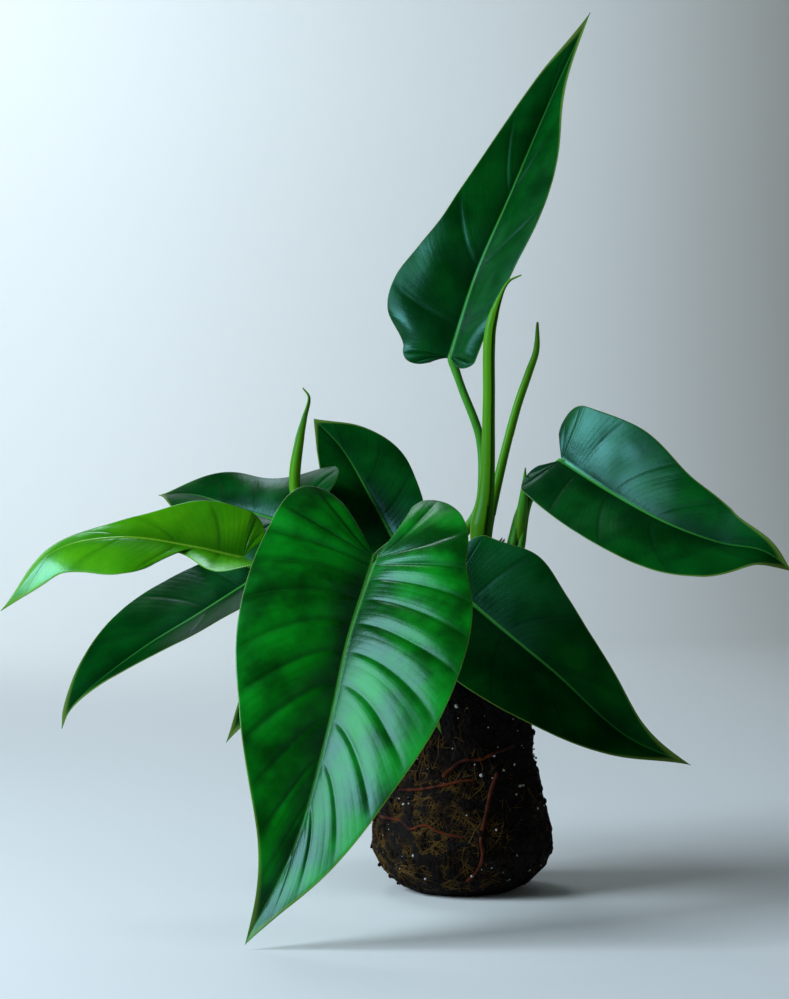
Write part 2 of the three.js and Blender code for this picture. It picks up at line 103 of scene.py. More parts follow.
CHANNEL_RIDGE = 0.62  # the narrow ridge in the middle of that channel
CHANNEL_RIDGE_WIDTH = 0.8
RIB_TAPER = 0.6  # how the midrib narrows between them, as a power of the way to the tip
RIB_REACH = 0.86  # the share of the midrib that stands out below the blade
RIB_ROUND = 1.15  # the half width of what stands out, in its own depths
MARGIN_ROUND = 0.9  # how far in from the margin a blade has its full thickness
ROW_LEAST = 0.5  # the least width of a row

# The columns of a blade's mesh stand close together in a strip by the midrib, which is as wide as
# so many of its half widths, and in a strip by the margin, where they are shares of that strip.
RIB_COLUMNS = 9
RIB_STRIP = 2.4
FIELD_COLUMNS = 22
MARGIN_COLUMNS = np.array([0.62, 0.36, 0.16, 0.05, 0])
MARGIN_STRIP = 2.6

# Where a petiole meets its blade. The seats are depths below the blade, in radii of the petiole.
RIB_SEAT = 0.6
END_SEAT = 0.35
END_REACH = 9  # how far a petiole runs on below the midrib, and how long it tapers
END_TAPER = 7
END_SHARE = 0.55  # the share of its radius that a petiole keeps at that end
NECK_LENGTH = 7
KNUCKLE_WAY = 17  # how far before its end a petiole swells, how long and by what share
KNUCKLE_LENGTH = 5
KNUCKLE_SWELL = 0.13
GROOVE_WIDTH = 0.3  # in radians round the petiole
NO_SEAM = 99  # a distance at which no painted groove shade shows


class Leaf(NamedTuple):
    """A leaf's measures, in millimetres and degrees.
    midrib: points from the joint with the petiole to the tip. face: the way the upper side looks,
    at the joint and at the tip. width: the half widths to the left and right of the heart that
    each side follows, at even steps. reach: how far the left and right lobe reach back behind the
    joint. droop: the angle by which they droop. fold: the angle by which each half rises from the
    midrib, at the joint and at the tip. curl: the angle by which it turns back down towards its
    margin. wave: height, count and phase of the margin's wave. pleats: how many side veins dent
    each half, and how high the blade swells between two. petiole: points from the axis of the stem
    to the joint. girth: the petiole's radius along the way. groove: the angle at which its groove
    runs, and the groove's depth as a share of the radius. skew: how far the lobes lean to the
    right. rows: how many rows of the mesh a pleat gets. slot: the finish of the blade."""

    name: str
    midrib: list
    face: list
    width: list
    reach: tuple
    droop: float
    fold: tuple
    curl: tuple
    wave: tuple
    pleats: tuple
    petiole: list
    girth: list
    groove: tuple = (90, 0.14)
    skew: float = 0
    rows: int = 26
    slot: str = "mature_leaf"


LEAVES = [
    Leaf(
        name="tall",
        midrib=[(-7, 39, 356), (11, 45, 413), (35, 54, 469), (60, 64, 528), (92, 74, 600)],
        face=[(-0.6, -0.8, 0.1), (-0.55, -0.8, 0.1)],
        width=[(36, 54, 56, 48, 42, 41, 41, 42, 44, 47, 50, 48, 44), (32, 46, 58, 56, 30, 30)],
        reach=(5, 4),
        droop=30,
        fold=(30, 25),
        curl=(15, 5),
        wave=(2.5, 2.5, 0.1),
        pleats=(5, 3),
        petiole=[(-12, 30, 176), (-6, 31, 222), (12, 32, 252), (15, 33, 274), (13, 36, 302), (1, 38, 335)],
        girth=[4.2, 2.7],
    ),
    Leaf(
        name="right",
        midrib=[(66, -5, 285), (94, -33, 265), (128, -72, 244), (158, -100, 232),
                (183, -116, 227), (199, -120, 215)],
        face=[(-0.5, -0.7, 0.5), (0, -0.85, 0.4)],
        width=[(40, 48, 47, 54, 50), (36, 42, 54, 80, 94)],
        reach=(14, 9),
        droop=20,
        fold=(24, 16),
        curl=(12, 10),
        wave=(2, 2, 0.4),
        pleats=(5, 0.8),
        petiole=[(14, 2, 170), (32, 0, 213), (36, 2, 228), (42, 5, 254), (53, 5, 273)],
        girth=[5.2, 6.2, 6.8, 6.4, 5, 3, 2.7],
        groove=(185, 0.4),
    ),
    Leaf(
        name="low_right",
        midrib=[(-8, -38, 203), (24, -54, 176), (57, -73, 149), (100, -95, 111), (139, -104, 94)],
        face=[(-0.3, -0.8, 0.5), (0.1, -0.9, 0.35)],
        width=[(41, 52, 48, 43, 43, 40, 33), (45, 55, 60, 42)],
        reach=(10, 24),
        droop=5,
        fold=(22, 22),
        curl=(15, 10),
        wave=(1.5, 2, 0.2),
        pleats=(5, 0.5),
        petiole=[(14, 2, 158), (6, -16, 178), (-4, -30, 198)],
        girth=[4.2, 2.7],
    ),
    Leaf(
        name="front",
        slot="front_leaf",
        midrib=[(-57, -110, 223), (-73, -142, 174), (-84, -168, 124), (-103, -194, 58), (-131, -208, 3)],
        face=[(-0.1, -0.85, 0.5), (-0.1, -0.95, 0.2)],
        width=[(63, 75, 83, 87, 87, 85, 84, 84, 84), (70, 72, 68, 46)],
        reach=(47, 34),
        droop=40,
        skew=14,
        fold=(28, 24),
        curl=(24, 18),
        wave=(1.5, 2, 0),
        pleats=(12, 2.2),
        petiole=[(14, 2, 194), (2, -5, 216), (-9, -22, 232), (-30, -64, 236), (-47, -94, 230)],
        girth=[4.6, 3.2],
        rows=20,
    ),
    Leaf(
        name="back",
        midrib=[(-40, 24, 221), (-60, 45, 258), (-82, 70, 295), (-102, 86, 316)],
        face=[(-0.1, -0.85, 0.5), (0, -0.8, 0.6)],
        width=[(30, 36, 44, 66), (24, 37, 58, 70)],
        reach=(20, 20),
        droop=30,
        fold=(20, 10),
        curl=(25, 15),
        wave=(1.5, 2, 0.5),
        pleats=(5, 0.4),
        petiole=[(-12, 30, 168), (-28, 29, 195), (-38, 25, 214)],
        girth=[4, 2.5],
    ),
    Leaf(
        name="young",
        slot="young_leaf",
        midrib=[(-142, -60, 221), (-175, -68, 229), (-219, -78, 235), (-260, -84, 226), (-292, -90, 189)],
        face=[(-0.1, -0.64, 0.77), (-0.5, -0.6, 0.6)],
        width=[(45, 44, 10, 34, 44, 44, 46, 54, 44), (34, 33, 22, 22, 44, 70)],
        reach=(12, 8),
        droop=20,
        fold=(40, -35),
        curl=(10, 20),
        wave=(3, 2, 0.3),
        pleats=(5, 0.8),
        petiole=[(-30, 2, 166), (-56, -28, 190), (-98, -50, 210), (-134, -60, 216)],
        girth=[3.8, 2.4],
    ),
    Leaf(
        name="left_back",
        midrib=[(-115, 10, 242), (-150, 40, 252), (-185, 75, 262), (-214, 110, 262)],
        face=[(-0.25, -0.75, 0.6), (-0.1, -0.5, 0.85)],
        width=[(42, 42, 42), (56, 36, 46, 54)],
        reach=(20, 14),
        droop=20,
        fold=(20, 10),
        curl=(35, 20),
        wave=(3, 1.5, 0.2),
        pleats=(5, 0.8),
        petiole=[(-30, 2, 168), (-56, 4, 204), (-98, 8, 238)],
        girth=[3.8, 2.4],
    ),
    Leaf(
        name="low_left",
        midrib=[(-136, 5, 208), (-175, -10, 183), (-209, -24, 162), (-245, -40, 134), (-256, -46, 121),
                (-260, -48, 111)],
        face=[(-0.53, -0.5, 0.68), (-0.45, -0.67, 0.59)],
        width=[(42, 40, 40, 28, 14), (40, 48, 54, 54, 44)],
        reach=(18, 18),
        droop=30,
        fold=(13, 28),
        curl=(10, 10),
        wave=(1.5, 2, 0.6),
        pleats=(5, 0.8),
        petiole=[(-30, 2, 158), (-60, 0, 182), (-100, 4, 204), (-127, 5, 210)],
        girth=[3.8, 2.4],
    ),
    Leaf(
        name="hidden_left",
        midrib=[(-100, -45, 178), (-122, -52, 150), (-141, -57, 122), (-153, -60, 103)],
        face=[(-0.2, -0.8, 0.4), (-0.2, -0.9, 0.2)],
        width=[(20, 16), (20, 16)],
        reach=(12, 12),
        droop=30,
        fold=(25, 15),
        curl=(30, 20),
        wave=(0.5, 2, 0.6),
        pleats=(3, 0.3),
        petiole=[(-30, 2, 151), (-58, -20, 170), (-88, -40, 181)],
        girth=[2.8, 1.8],
        rows=16,
    ),
    Leaf(
        name="hidden_front",
        midrib=[(-30, -50, 162), (-27, -57, 146), (-22, -63, 126), (-15, -68, 110)],
        face=[(0, -0.95, 0.2), (0.1, -0.98, 0.1)],
        width=[(19, 9), (19, 9)],
        reach=(12, 12),
        droop=30,
        fold=(25, 15),
        curl=(30, 20),
        wave=(0.5, 2, 0.6),
        pleats=(3, 0.3),
        petiole=[(-12, 30, 156), (-21, -8, 176), (-29, -40, 171)],
        girth=[2.8, 1.8],
        rows=16,
    ),
]

# The free point of the sheath that still wraps the right leaf's petiole, and its first and last
# radius.
SHEATH_TIP = [(37, 3, 232), (39, 2, 244), (40.5, 0.5, 254), (41.5, -1.5, 266), (42, -5, 280)]
SHEATH_RADII = (4.8, 0.4)

# The three short stems, from inside the soil to their growing tips, and their radii.
STEMS = [
    ("stem_main", [(10, 4, 118), (13, 3, 160), (14, 1, 200), (14, 0, 224)], 8.5),
    ("stem_back", [(-10, 32, 118), (-12, 31, 150), (-12, 30, 184), (-8, 29, 214)], 6.5),
    ("stem_left", [(-26, 4, 118), (-29, 3, 150), (-31, 2, 184)], 6.5),
]
STEM_RINGS = 7
RING_SWELL = 0.07  # share of its radius by which a stem swells at a ring
RING_RIDGE = 0.25  # height of the fine ridge on a ring


class Spear(NamedTuple):
    """A folded leaf that has yet to open. path: points from its foot to its drawn-out point.
    profile: the radius at even steps. seam: the angle at which its free edge shows at the foot.
    twist: how far that edge turns round on its way up, in degrees."""

    name: str
    path: list
    profile: list
    seam: float
    twist: float


SPEARS = [
    Spear(
        name="spear_tall",
        path=[(13, 0, 225), (13, 0, 239), (15, 0, 252), (17, 0, 272), (18, -2, 325), (19, -4, 372),
              (25, -5, 393), (31, -6, 404), (39, -7, 408)],
        profile=[7, 7.6, 5.7, 4.9, 4.6, 4.3, 4.1, 4.1, 4.1, 3.4, 1.3, 0.5],
        seam=-162,
        twist=8,
    ),
    Spear(
        name="spear_right",
        path=[(15, 11, 212), (18, 18, 240), (26, 22, 276), (38, 24, 322), (46, 25, 345), (51, 25, 360),
              (52, 25, 379)],
        profile=[3.6, 3.8, 3.7, 3.5, 3.2, 3, 2.9, 2.8, 2.7, 2.5, 1.9, 0.8],
        seam=-120,
        twist=20,
    ),
    Spear(
        name="spear_left",
        path=[(-31, 1, 184), (-40, -8, 206), (-74, -24, 228), (-104, -32, 246), (-110, -30, 267),
              (-107, -30, 298), (-104, -29, 312), (-101, -28, 326), (-105, -26, 332)],
        profile=[3.2, 2.8, 2.6, 2.6, 2.8, 3.1, 3.4, 3.6, 3.5, 2.9, 1.5, 0.5],
        seam=-90,
        twist=260,
    ),
]
ROLL_GROWTH = 0.09  # share of its radius by which a roll grows once round
LIP_RISE = 0.09  # how far its free edge stands out and the roll beside it sinks, in the same way
LIP_FALL = 0.12

# The papery brown remains of old sheaths: path, and radius at its foot and end.
DRIED_SHEATHS = [
    ("dried_sheath_back", [(-8, 38, 205), (-5, 38, 230), (-2, 36, 243)], (3.4, 2)),
    ("dried_sheath_main", [(20, -3, 222), (23, -4, 227), (27, -5, 232)], (1.8, 1.3)),
]
DRIED_TURN = 115  # degrees by which a dried sheath reaches round to either side
DRIED_WALL = 0.4
DRIED_TEAR = 0.16  # how far its end is torn in and out, as a share of its length

# Radius of the root ball against height, from the edge of its flat underside up to the stems.
BALL_PROFILE = [
    (34, 0),
    (44, 5),
    (53, 14),
    (59, 27),
    (59, 40),
    (56, 54),
    (51, 71),
    (48, 90),
    (46, 108),
    (45, 126),
    (41, 140),
    (32, 150),
]
BALL_CROWN = 152
BALL_WIDEST = max(radius for radius, height in BALL_PROFILE)
# The side of the ball stands in and out by a sum of swells. Each has a share of the radius, a
# number of swells round the ball, a rise in millimetres per radian and a phase.
LUMPS = [(0.012, 2, 31, 0), (0.012, 3, -23, 1.7), (0.007, 7, 9, 0.4), (0.007, 5, -7, 0.6)]
CRUMBS = ((1.3, 9), (0.9, 4.2), (0.55, 2), (0.3, 1))  # height and size of the crumbs of its skin

ROOTS_LEANING = 0.62  # the share of the fine roots that start at the left front
ROOTS_TOWARDS = 4.1  # the way round the ball to the left front, in radians from +X
ROOTS_LOWEST = 5
ROOTS_HIGHEST = 128
ROOT_SEAT = 0.55  # how far out of the ball the middle of a root lies, in its own radii
COARSE_STEPS = 90


class RootKind(NamedTuple):
    """A kind of fine root. steps: how many steps it takes. stride: the shortest and the longest
    one, in millimetres. turn: the spread of the angle by which it turns at each, in radians.
    girth: the least and the largest radius at its start."""

    steps: int
    stride: tuple
    turn: float
    girth: tuple


RUNNER = RootKind(40, (1.0, 1.9), 0.14, (0.2, 0.48))
BRANCH = RootKind(14, (0.6, 1.5), 0.22, (0.13, 0.3))
RUNNER_START = (6, 80)  # the heights between which runners start
BRANCH_LEAST = 3  # the steps of its runner that a branch keeps away from, at both ends
BRANCH_ANGLE = (0.6, 1.4)  # the angles at which branches leave, in radians

# The coarse roots that show on the ball: radius, then degrees round from +X and height.
COARSE_ROOTS = [
    (1.3, [(253, 79), (260, 85), (269, 90), (282, 91), (295, 95), (313, 99)]),
    (1.3, [(214, 69), (236, 71), (252, 74), (267, 77), (278, 78)]),
    (1.4, [(295, 83), (290, 73), (284, 55), (280, 41), (281, 31), (278, 20), (270, 12)]),
    (1.2, [(197, 50), (226, 50), (233, 46), (244, 49), (254, 45), (270, 42)]),
    (1.3, [(20, 100), (35, 70), (28, 44), (44, 18)]),
    (1.2, [(60, 84), (90, 76), (120, 82), (150, 66)]),
    (1.4, [(130, 112), (138, 80), (128, 50), (140, 20)]),
    (1.2, [(160, 30), (130, 36), (95, 26), (60, 34)]),
]


# Curves and noise

def unit(vectors):
    """Each vector divided by its own length."""
    return vectors / np.linalg.norm(vectors, axis=-1, keepdims=True)


def blend(low, high, share):
    """The value that lies at a share of the way from low to high."""
    return low + (high - low) * share


def ease(value, low, high):
    """0 below low and 1 above high, with 3t^2 - 2t^3 between them."""
    t = np.clip((value - low) / (high - low), 0, 1)
    return t * t * (3 - 2 * t)


def bell(value, width):
    """1 at zero, falling off to both sides as e^-(value / width)^2."""
    return np.exp(-((value / width) ** 2))


def closing(share, haste):
    """1 along the way and 0 at both its ends, by the square root of haste * the way to an end."""
    return np.sqrt(np.clip(np.minimum(share, 1 - share) * haste, 0, 1))


def cubic(here, there, leave, arrive, t):
    """The cubic from one place to another that leaves and arrives with the given slopes."""
    bend = 3 * (there - here) - 2 * leave - arrive
    return here + leave * t + bend * t**2 + (2 * (here - there) + leave + arrive) * t**3


def spline(points, share):
    """A uniform Catmull-Rom spline: a cubic from each point to the next, whose slope at a point is
    half the step between its two neighbours. share runs from 0 to 1 over the whole row."""
    points = np.asarray(points, float).reshape(len(points), -1)
    last = len(points) - 1
    place = np.clip(share, 0, 1) * last
    start = np.minimum(place.astype(int), last - 1)
    t = (place - start)[..., None]
    before, here, there, after = (points[np.clip(start + step, 0, last)] for step in (-1, 0, 1, 2))
    return cubic(here, there, (there - before) / 2, (after - here) / 2, t)


def smooth_path(points):
    """A centripetal Catmull-Rom curve: a cubic from each point to the next, whose slopes weigh the
    neighbouring chords by the square roots of their lengths. Gives lengths, places and tangents."""
    points = np.asarray(points, float)
    first = 2 * points[0] - points[1]
    last = 2 * points[-1] - points[-2]
    row = np.vstack([first, points, last])
    chord = np.sqrt(np.linalg.norm(np.diff(row, axis=0), axis=1))[:, None]
    before, here, there, after = (row[k : len(row) - 3 + k] for k in range(4))
    into, over, on = (chord[k : len(row) - 3 + k] for k in range(3))
    leave = over * ((here - before) / into - (there - before) / (into + over)) + there - here
    arrive = there - here - over * (after - here) / (over + on) + over * (after - there) / on
    t = np.linspace(0, 1, PATH_STEPS, endpoint=False)[None, :, None]
    curve = cubic(*(part[:, None] for part in (here, there, leave, arrive)), t)
    curve = np.vstack([curve.reshape(-1, 3), points[-1]])
    lengths = np.append(0, np.cumsum(np.linalg.norm(np.diff(curve, axis=0), axis=1)))
    return lengths, curve, unit(np.gradient(curve, lengths, axis=0))


def read_row(lengths, values, place):
    """The values at a place between the samples, each column read straight between two of them."""
    return np.stack([np.interp(place, lengths, column) for column in values.T], axis=-1)


def noise(places, size, seed):
    """Value noise from -1 to 1: a random value at each corner of a cubic grid of the given size,
    mixed between the eight corners around a place by 3t^2 - 2t^3 along each axis."""
    cell = np.asarray(places, float) / size
    corner = np.floor(cell).astype(np.int64)
    part = cell - corner
    part = part * part * (3 - 2 * part)
    total = np.zeros(cell.shape[:-1])
    for shift in np.ndindex(2, 2, 2):
        key = ((corner + shift) * CORNER_FACTORS).sum(axis=-1) + seed * SEED_FACTOR
        key = (key ^ (key >> 13)) * SUM_FACTOR & 0x7FFFFFFF
        value = ((key ^ (key >> 15)) & 0xFFFF) / 0x7FFF - 1
        total += value * np.where(shift, part, 1 - part).prod(axis=-1)
    return total


def unevenness(places, heights_and_sizes, seed):
    """A sum of value noises: height * noise for each pair of a height and a size."""
    numbered = enumerate(heights_and_sizes)
    return sum(height * noise(places, size, seed + k) for k, (height, size) in numbered)


# Shells: vertices in millimetres, triangles, and named values at the vertices

class Shell(NamedTuple):
    """A closed surface: places of its vertices, its triangles and the values at its vertices."""

    places: np.ndarray
    triangles: np.ndarray
    fields: dict


def grid_triangles(rows, columns):
    """Two triangles for each cell of a grid whose last column meets its first."""
    row = np.arange(rows - 1)[:, None] * columns
    column = np.arange(columns)[None, :]
    beside = (column + 1) % columns
    a, b = row + column, row + beside
    c, d = a + columns, b + columns
    return np.stack([a, b, c, b, d, c], axis=-1).reshape(-1, 3)


def tube_shell(places, fields=None):
    """A grid of rings, row by row along a path, closed round each ring. A ring that has shrunk to
    a point closes the end."""
    size = places.shape[:2]
    values = {name: np.broadcast_to(value, size).ravel() for name, value in (fields or {}).items()}
    return Shell(places.reshape(-1, 3), grid_triangles(*size), values)


def joined(shells):
    """Several shells as one."""
    starts = np.cumsum([0] + [len(shell.places) for shell in shells[:-1]])
    triangles = np.vstack([shell.triangles + start for shell, start in zip(shells, starts)])
    names = shells[0].fields
    fields = {name: np.concatenate([shell.fields[name] for shell in shells]) for name in names}
    return Shell(np.vstack([shell.places for shell in shells]), triangles, fields)


def add_piece(name, shell, finish, slot, *nodes):
    """Makes a mesh object of a shell. Vertices that agree to a thousandth of a millimetre are
    joined, triangles that shrink to a line are dropped, and the piece takes its finish and stands
    for the named solids."""
    rounded = np.round(shell.places * 1000).astype(np.int64)
    _, kept, new_index = np.unique(rounded, axis=0, return_index=True, return_inverse=True)
    triangles = new_index.reshape(-1)[shell.triangles]
    a, b, c = triangles.T
    triangles = triangles[(a != b) & (b != c) & (c != a)]
    mesh = bpy.data.meshes.new(name)
    mesh.from_pydata(shell.places[kept] * MM, [], triangles.tolist())
    for field, values in shell.fields.items():
        attribute = mesh.attributes.new(field, "FLOAT", "POINT")
        attribute.data.foreach_set("value", values[kept].astype(np.float32))
    mesh.shade_smooth()
    mesh.materials.append(finish)
    piece = bpy.data.objects.new(name, mesh)
    bpy.context.scene.collection.objects.link(piece)
    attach(piece, "root")
    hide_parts(*nodes)


# Blades

def midrib_frames(leaf, along):
    """Place, upward way and way across at distances along the midrib. The upward way turns evenly
    from the joint to the tip and is kept square to the midrib. Behind the joint, the frame follows
    a circle that droops by the lobes' angle over their longer reach."""
    lengths, points, tangents = smooth_path(leaf.midrib)
    inside = np.clip(along, 0, lengths[-1])
    place = read_row(lengths, points, inside)
    onward = unit(read_row(lengths, tangents, inside))
    upward = blend(*np.array(leaf.face, float), (inside / lengths[-1])[..., None])
    upward = unit(upward - (upward * onward).sum(axis=-1, keepdims=True) * onward)
    across = np.cross(onward, upward)
    behind = np.maximum(-along, 0)[..., None]
    longest = max(leaf.reach)
    rate = math.radians(leaf.droop) / longest
    bend = behind * rate
    place = place - onward * np.sin(bend) / rate + upward * (np.cos(bend) - 1) / rate
    place = place + across * leaf.skew * (behind / longest) ** 2
    turned = upward * np.cos(bend) - onward * np.sin(bend)
    return place, turned, across


def vein_numbers(leaf, vein):
    """Which side vein a share is at, counted from the first one after the lobe: whole numbers are
    veins, and the swells between them are the pleats."""
    past = vein - LOBE_SHARE
    in_lobe = LOBE_PLEATS * past / LOBE_SHARE
    return np.where(past < 0, in_lobe, leaf.pleats[0] * past / (1 - LOBE_SHARE))


def blade_rows(leaf):
    """Shares of the outline at which the rows stand, so that each side vein has its own row."""
    lobe = np.linspace(0, LOBE_SHARE, LOBE_PLEATS * leaf.rows + 1)
    rest = np.linspace(LOBE_SHARE, 1, leaf.pleats[0] * leaf.rows + 1)
    return np.append(lobe, rest[1:])


def blade_columns(half, rib):
    """Shares of a row at which its columns stand: close together within 2.4 half widths of the
    midrib and within 2.6 mm of the margin, and even between them."""
    inner = np.minimum(RIB_STRIP * rib / half, 0.3)
    outer = np.minimum(MARGIN_STRIP / half, 0.12)
    near = inner * np.linspace(0, 1, RIB_COLUMNS)
    middle = blend(inner, 1 - outer, np.linspace(0, 1, FIELD_COLUMNS)[1:])
    far = 1 - outer * MARGIN_COLUMNS
    return np.concatenate([near, middle, far], axis=1)


def blade_relief(leaf, place, t, rib, from_rib, to_edge, past_vein, seed):
    """How far a blade's skin stands out: it drifts by value noise, sinks along each side vein as
    e^-(way / 1.5)^2, swells just past it in the same way, and ripples between the veins by a
    cosine. Over the midrib it sinks to a shallow channel with a narrow ridge in its middle."""
    pleats = leaf.pleats[1]
    crease = (CREASE_LEAST + CREASE_DEPTH * pleats) * bell(np.abs(past_vein), CREASE_WIDTH)
    shoulder = SHOULDER * pleats * bell(past_vein - SHOULDER_WAY, SHOULDER_WIDTH)
    quilt = (crease - shoulder) * ease(t, 0.02, 0.2) * ease(to_edge, 0, 8)
    fine = FINE_DEPTH * np.cos(2 * np.pi * np.abs(past_vein) / FINE_VEINS)
    fine = fine * ease(from_rib, 2, 10) * ease(to_edge, 0, 6)
    drift = unevenness(place, DRIFTS, seed) * ease(from_rib, 1, 14)
    channel = CHANNEL_DEPTH * bell(from_rib, CHANNEL_WIDTH * rib)
    channel = channel - CHANNEL_RIDGE * bell(from_rib, CHANNEL_RIDGE_WIDTH * rib)
    channel = channel * np.minimum(1, rib / 1.4)
    return drift - (quilt + fine + channel) * ease(to_edge, 0, 2)


def blade_half(leaf, thickness, seed, side, reach, widths):
    """One half of a blade, at the left (side -1) or at the right (side 1). A row runs along a side
    vein, from the midrib (t = 0) out to the margin (t = 1). It leaves the midrib at
    root = length * past^1.5, ends at the outline, and its distance along is
    root + (end - root) * t^sweep. The half is an arc that rises by the fold and turns back by the
    curl. The wave is height * t^2 * sin, the pleats are
    depth * |sin(pi * number)| * sin(pi * t^1.3), and the midrib is a half round ridge below. The
    thickness is rounded off at the margin."""
    vein = blade_rows(leaf)[:, None]
    length = smooth_path(leaf.midrib)[0][-1]
    outline = spline(OUTLINE, vein)
    margin_along, margin_across = outline[..., 0], outline[..., 1]
    past = np.maximum(0, vein - LOBE_SHARE) / (1 - LOBE_SHARE)
    number = vein_numbers(leaf, vein)
    rib = leaf.girth[-1] * blend(*RIB_SHARES, past**RIB_TAPER)
    width = spline(widths, np.maximum(0, margin_along))[..., 0]
    half = np.maximum(width * margin_across, ROW_LEAST)
    t = blade_columns(half, rib)

    root = length * past**VEIN_SPREAD
    sweep = blend(1, VEIN_SWEEP, np.minimum(1, vein / LOBE_SHARE))
    end = margin_along * np.where(margin_along < 0, reach / LOBE_REACH, length)
    along = root + (end - root) * t**sweep
    share = np.maximum(0, along / length)
    across = width * margin_across * t
    fold = np.radians(blend(*leaf.fold, share))
    curl = np.radians(blend(*leaf.curl, share))
    angle = fold - curl * across / width
    run = width / curl * (np.sin(fold) - np.sin(angle))
    rise = width / curl * (np.cos(angle) - np.cos(fold))
    height, count, phase = leaf.wave
    wave = height * t**2 * np.sin(2 * np.pi * (count * vein + phase * side))
    variety = 1 + PLEAT_VARIETY * np.sin(PLEAT_CHANGE * number + side)
    swell = variety * np.abs(np.sin(np.pi * number)) * np.sin(np.pi * t**PLEAT_SHIFT)
    lift = rise + (wave + leaf.pleats[1] * swell) * margin_across
    place, upward, way = midrib_frames(leaf, along)
    place = place + way * (side * run)[..., None] + upward * lift[..., None]
    facing = upward * np.cos(angle)[..., None] - way * (side * np.sin(angle))[..., None]
    facing[:, 0] = upward[:, 0]

    from_rib = np.hypot(across, np.minimum(along, 0))
    to_edge = np.minimum(half * (1 - t), length * vein * (0.2 + t))
    spacing = length / leaf.pleats[0]
    past_vein = (number - np.round(number)) * spacing * np.ones_like(t)
    relief = blade_relief(leaf, place, t, rib, from_rib, to_edge, past_vein, seed)
    body = thickness / 2 * np.sqrt(1 - (1 - np.clip(to_edge / MARGIN_ROUND, 0, 1)) ** 2)
    depth = leaf.girth[-1] * np.maximum(0, 1 - past / RIB_REACH)
    round_off = 1 - (from_rib / (RIB_ROUND * np.maximum(depth, 0.3))) ** 2
    ridge = depth * np.sqrt(np.clip(round_off, 0, 1)) * ease(to_edge, 0, 3)
    return {
        "upper": place + facing * (body + relief)[..., None],
        "lower": place + facing * (relief - body - ridge)[..., None],
        "rib_way": from_rib / rib,
        "edge_way": to_edge,
        "vein_way": np.abs(past_vein),
        "tip_way": np.clip(along / length, 0, 1),
    }


def blade_shell(leaf, thickness, seed):
    """A blade's two halves side by side, as an upper and a lower face that meet at the margin."""
    sides = zip((-1, 1), leaf.reach, leaf.width)
    left, right = (blade_half(leaf, thickness, seed, *side) for side in sides)
    whole = {name: np.concatenate([left[name][:, :0:-1], right[name]], axis=1) for name in left}
    upper, lower = whole.pop("upper"), whole.pop("lower")
    loop = np.concatenate([upper, lower[:, ::-1]], axis=1)
    fields = {name: np.concatenate([half, half[:, ::-1]], axis=1) for name, half in whole.items()}
    under = np.zeros(loop.shape[:2])
    under[:, upper.shape[1] + 1 : -1] = 1
    return tube_shell(loop, fields | {"under_side": under})


# Petioles, stems, rolled leaves and sheaths

def path_frames(points, shares):
    """Places along a smooth path with two ways square to it, and its length. The first way leans on
    the world axis that the path keeps furthest from, and the second is square to both."""
    lengths, places, tangents = smooth_path(points)
    here = read_row(lengths, places, shares * lengths[-1])
    onward = unit(read_row(lengths, tangents, shares * lengths[-1]))
    axis = np.eye(3)[np.argmin(np.abs(onward).max(axis=0))]
    side = unit(axis - (onward @ axis)[:, None] * onward)
    return here, side, np.cross(onward, side), lengths[-1]


def full_turn(count):
    """Angles at even steps once round."""
    return np.linspace(0, 2 * np.pi, count, endpoint=False)


def ring_ways(angle, side, other):
    """Ways outward round a path: cos * side + sin * other side, for each place and angle."""
    return np.cos(angle)[:, None] * side[..., None, :] + np.sin(angle)[:, None] * other[..., None, :]


def tube(points, radius_at, steps, sides, section=None, seam_way=None):
    """Rings round a smooth path: place + radius * section * (cos * side + sin * other side). The
    ends close over a quarter round. tip_way is the share of the path, and seam_way the distance
    round the tube from its groove or free edge."""
    shares = np.linspace(0, 1, steps)
    angle = full_turn(sides)
    here, side, other, _ = path_frames(points, shares)
    radius = radius_at(shares)
    shape = section(shares[:, None], angle) if section else np.ones((steps, sides))
    ring = ring_ways(angle, side, other)
    onward = np.cross(side, other)
    ends = []
    for end, away in ((0, -1), (-1, 1)):
        flat = here[end] + ring[end] * (radius[end] * shape[end])[:, None] * CLOSE_OVER[:, None, None]
        out = away * (radius[end] * np.sqrt(1 - CLOSE_OVER**2) * CLOSE_REACH)
        ends.append(flat + onward[end] * out[:, None, None])
    rings = here[:, None] + ring * (radius[:, None] * shape)[..., None]
    rows = np.vstack([ends[0][:-1], rings, ends[1][-2::-1]])
    past_end = len(CLOSE_OVER) - 1
    fields = {"tip_way": np.pad(shares, past_end, "edge")[:, None]}
    if seam_way:
        seam = np.broadcast_to(seam_way(shares[:, None], angle), (steps, sides))
        fields["seam_way"] = np.pad(seam, ((past_end, past_end), (0, 0)), "edge")
    return tube_shell(rows, fields)


def turn_from(angle, centre):
    """The angle from a centre line, from minus half a turn to half a turn."""
    return (angle - centre + np.pi) % (2 * np.pi) - np.pi


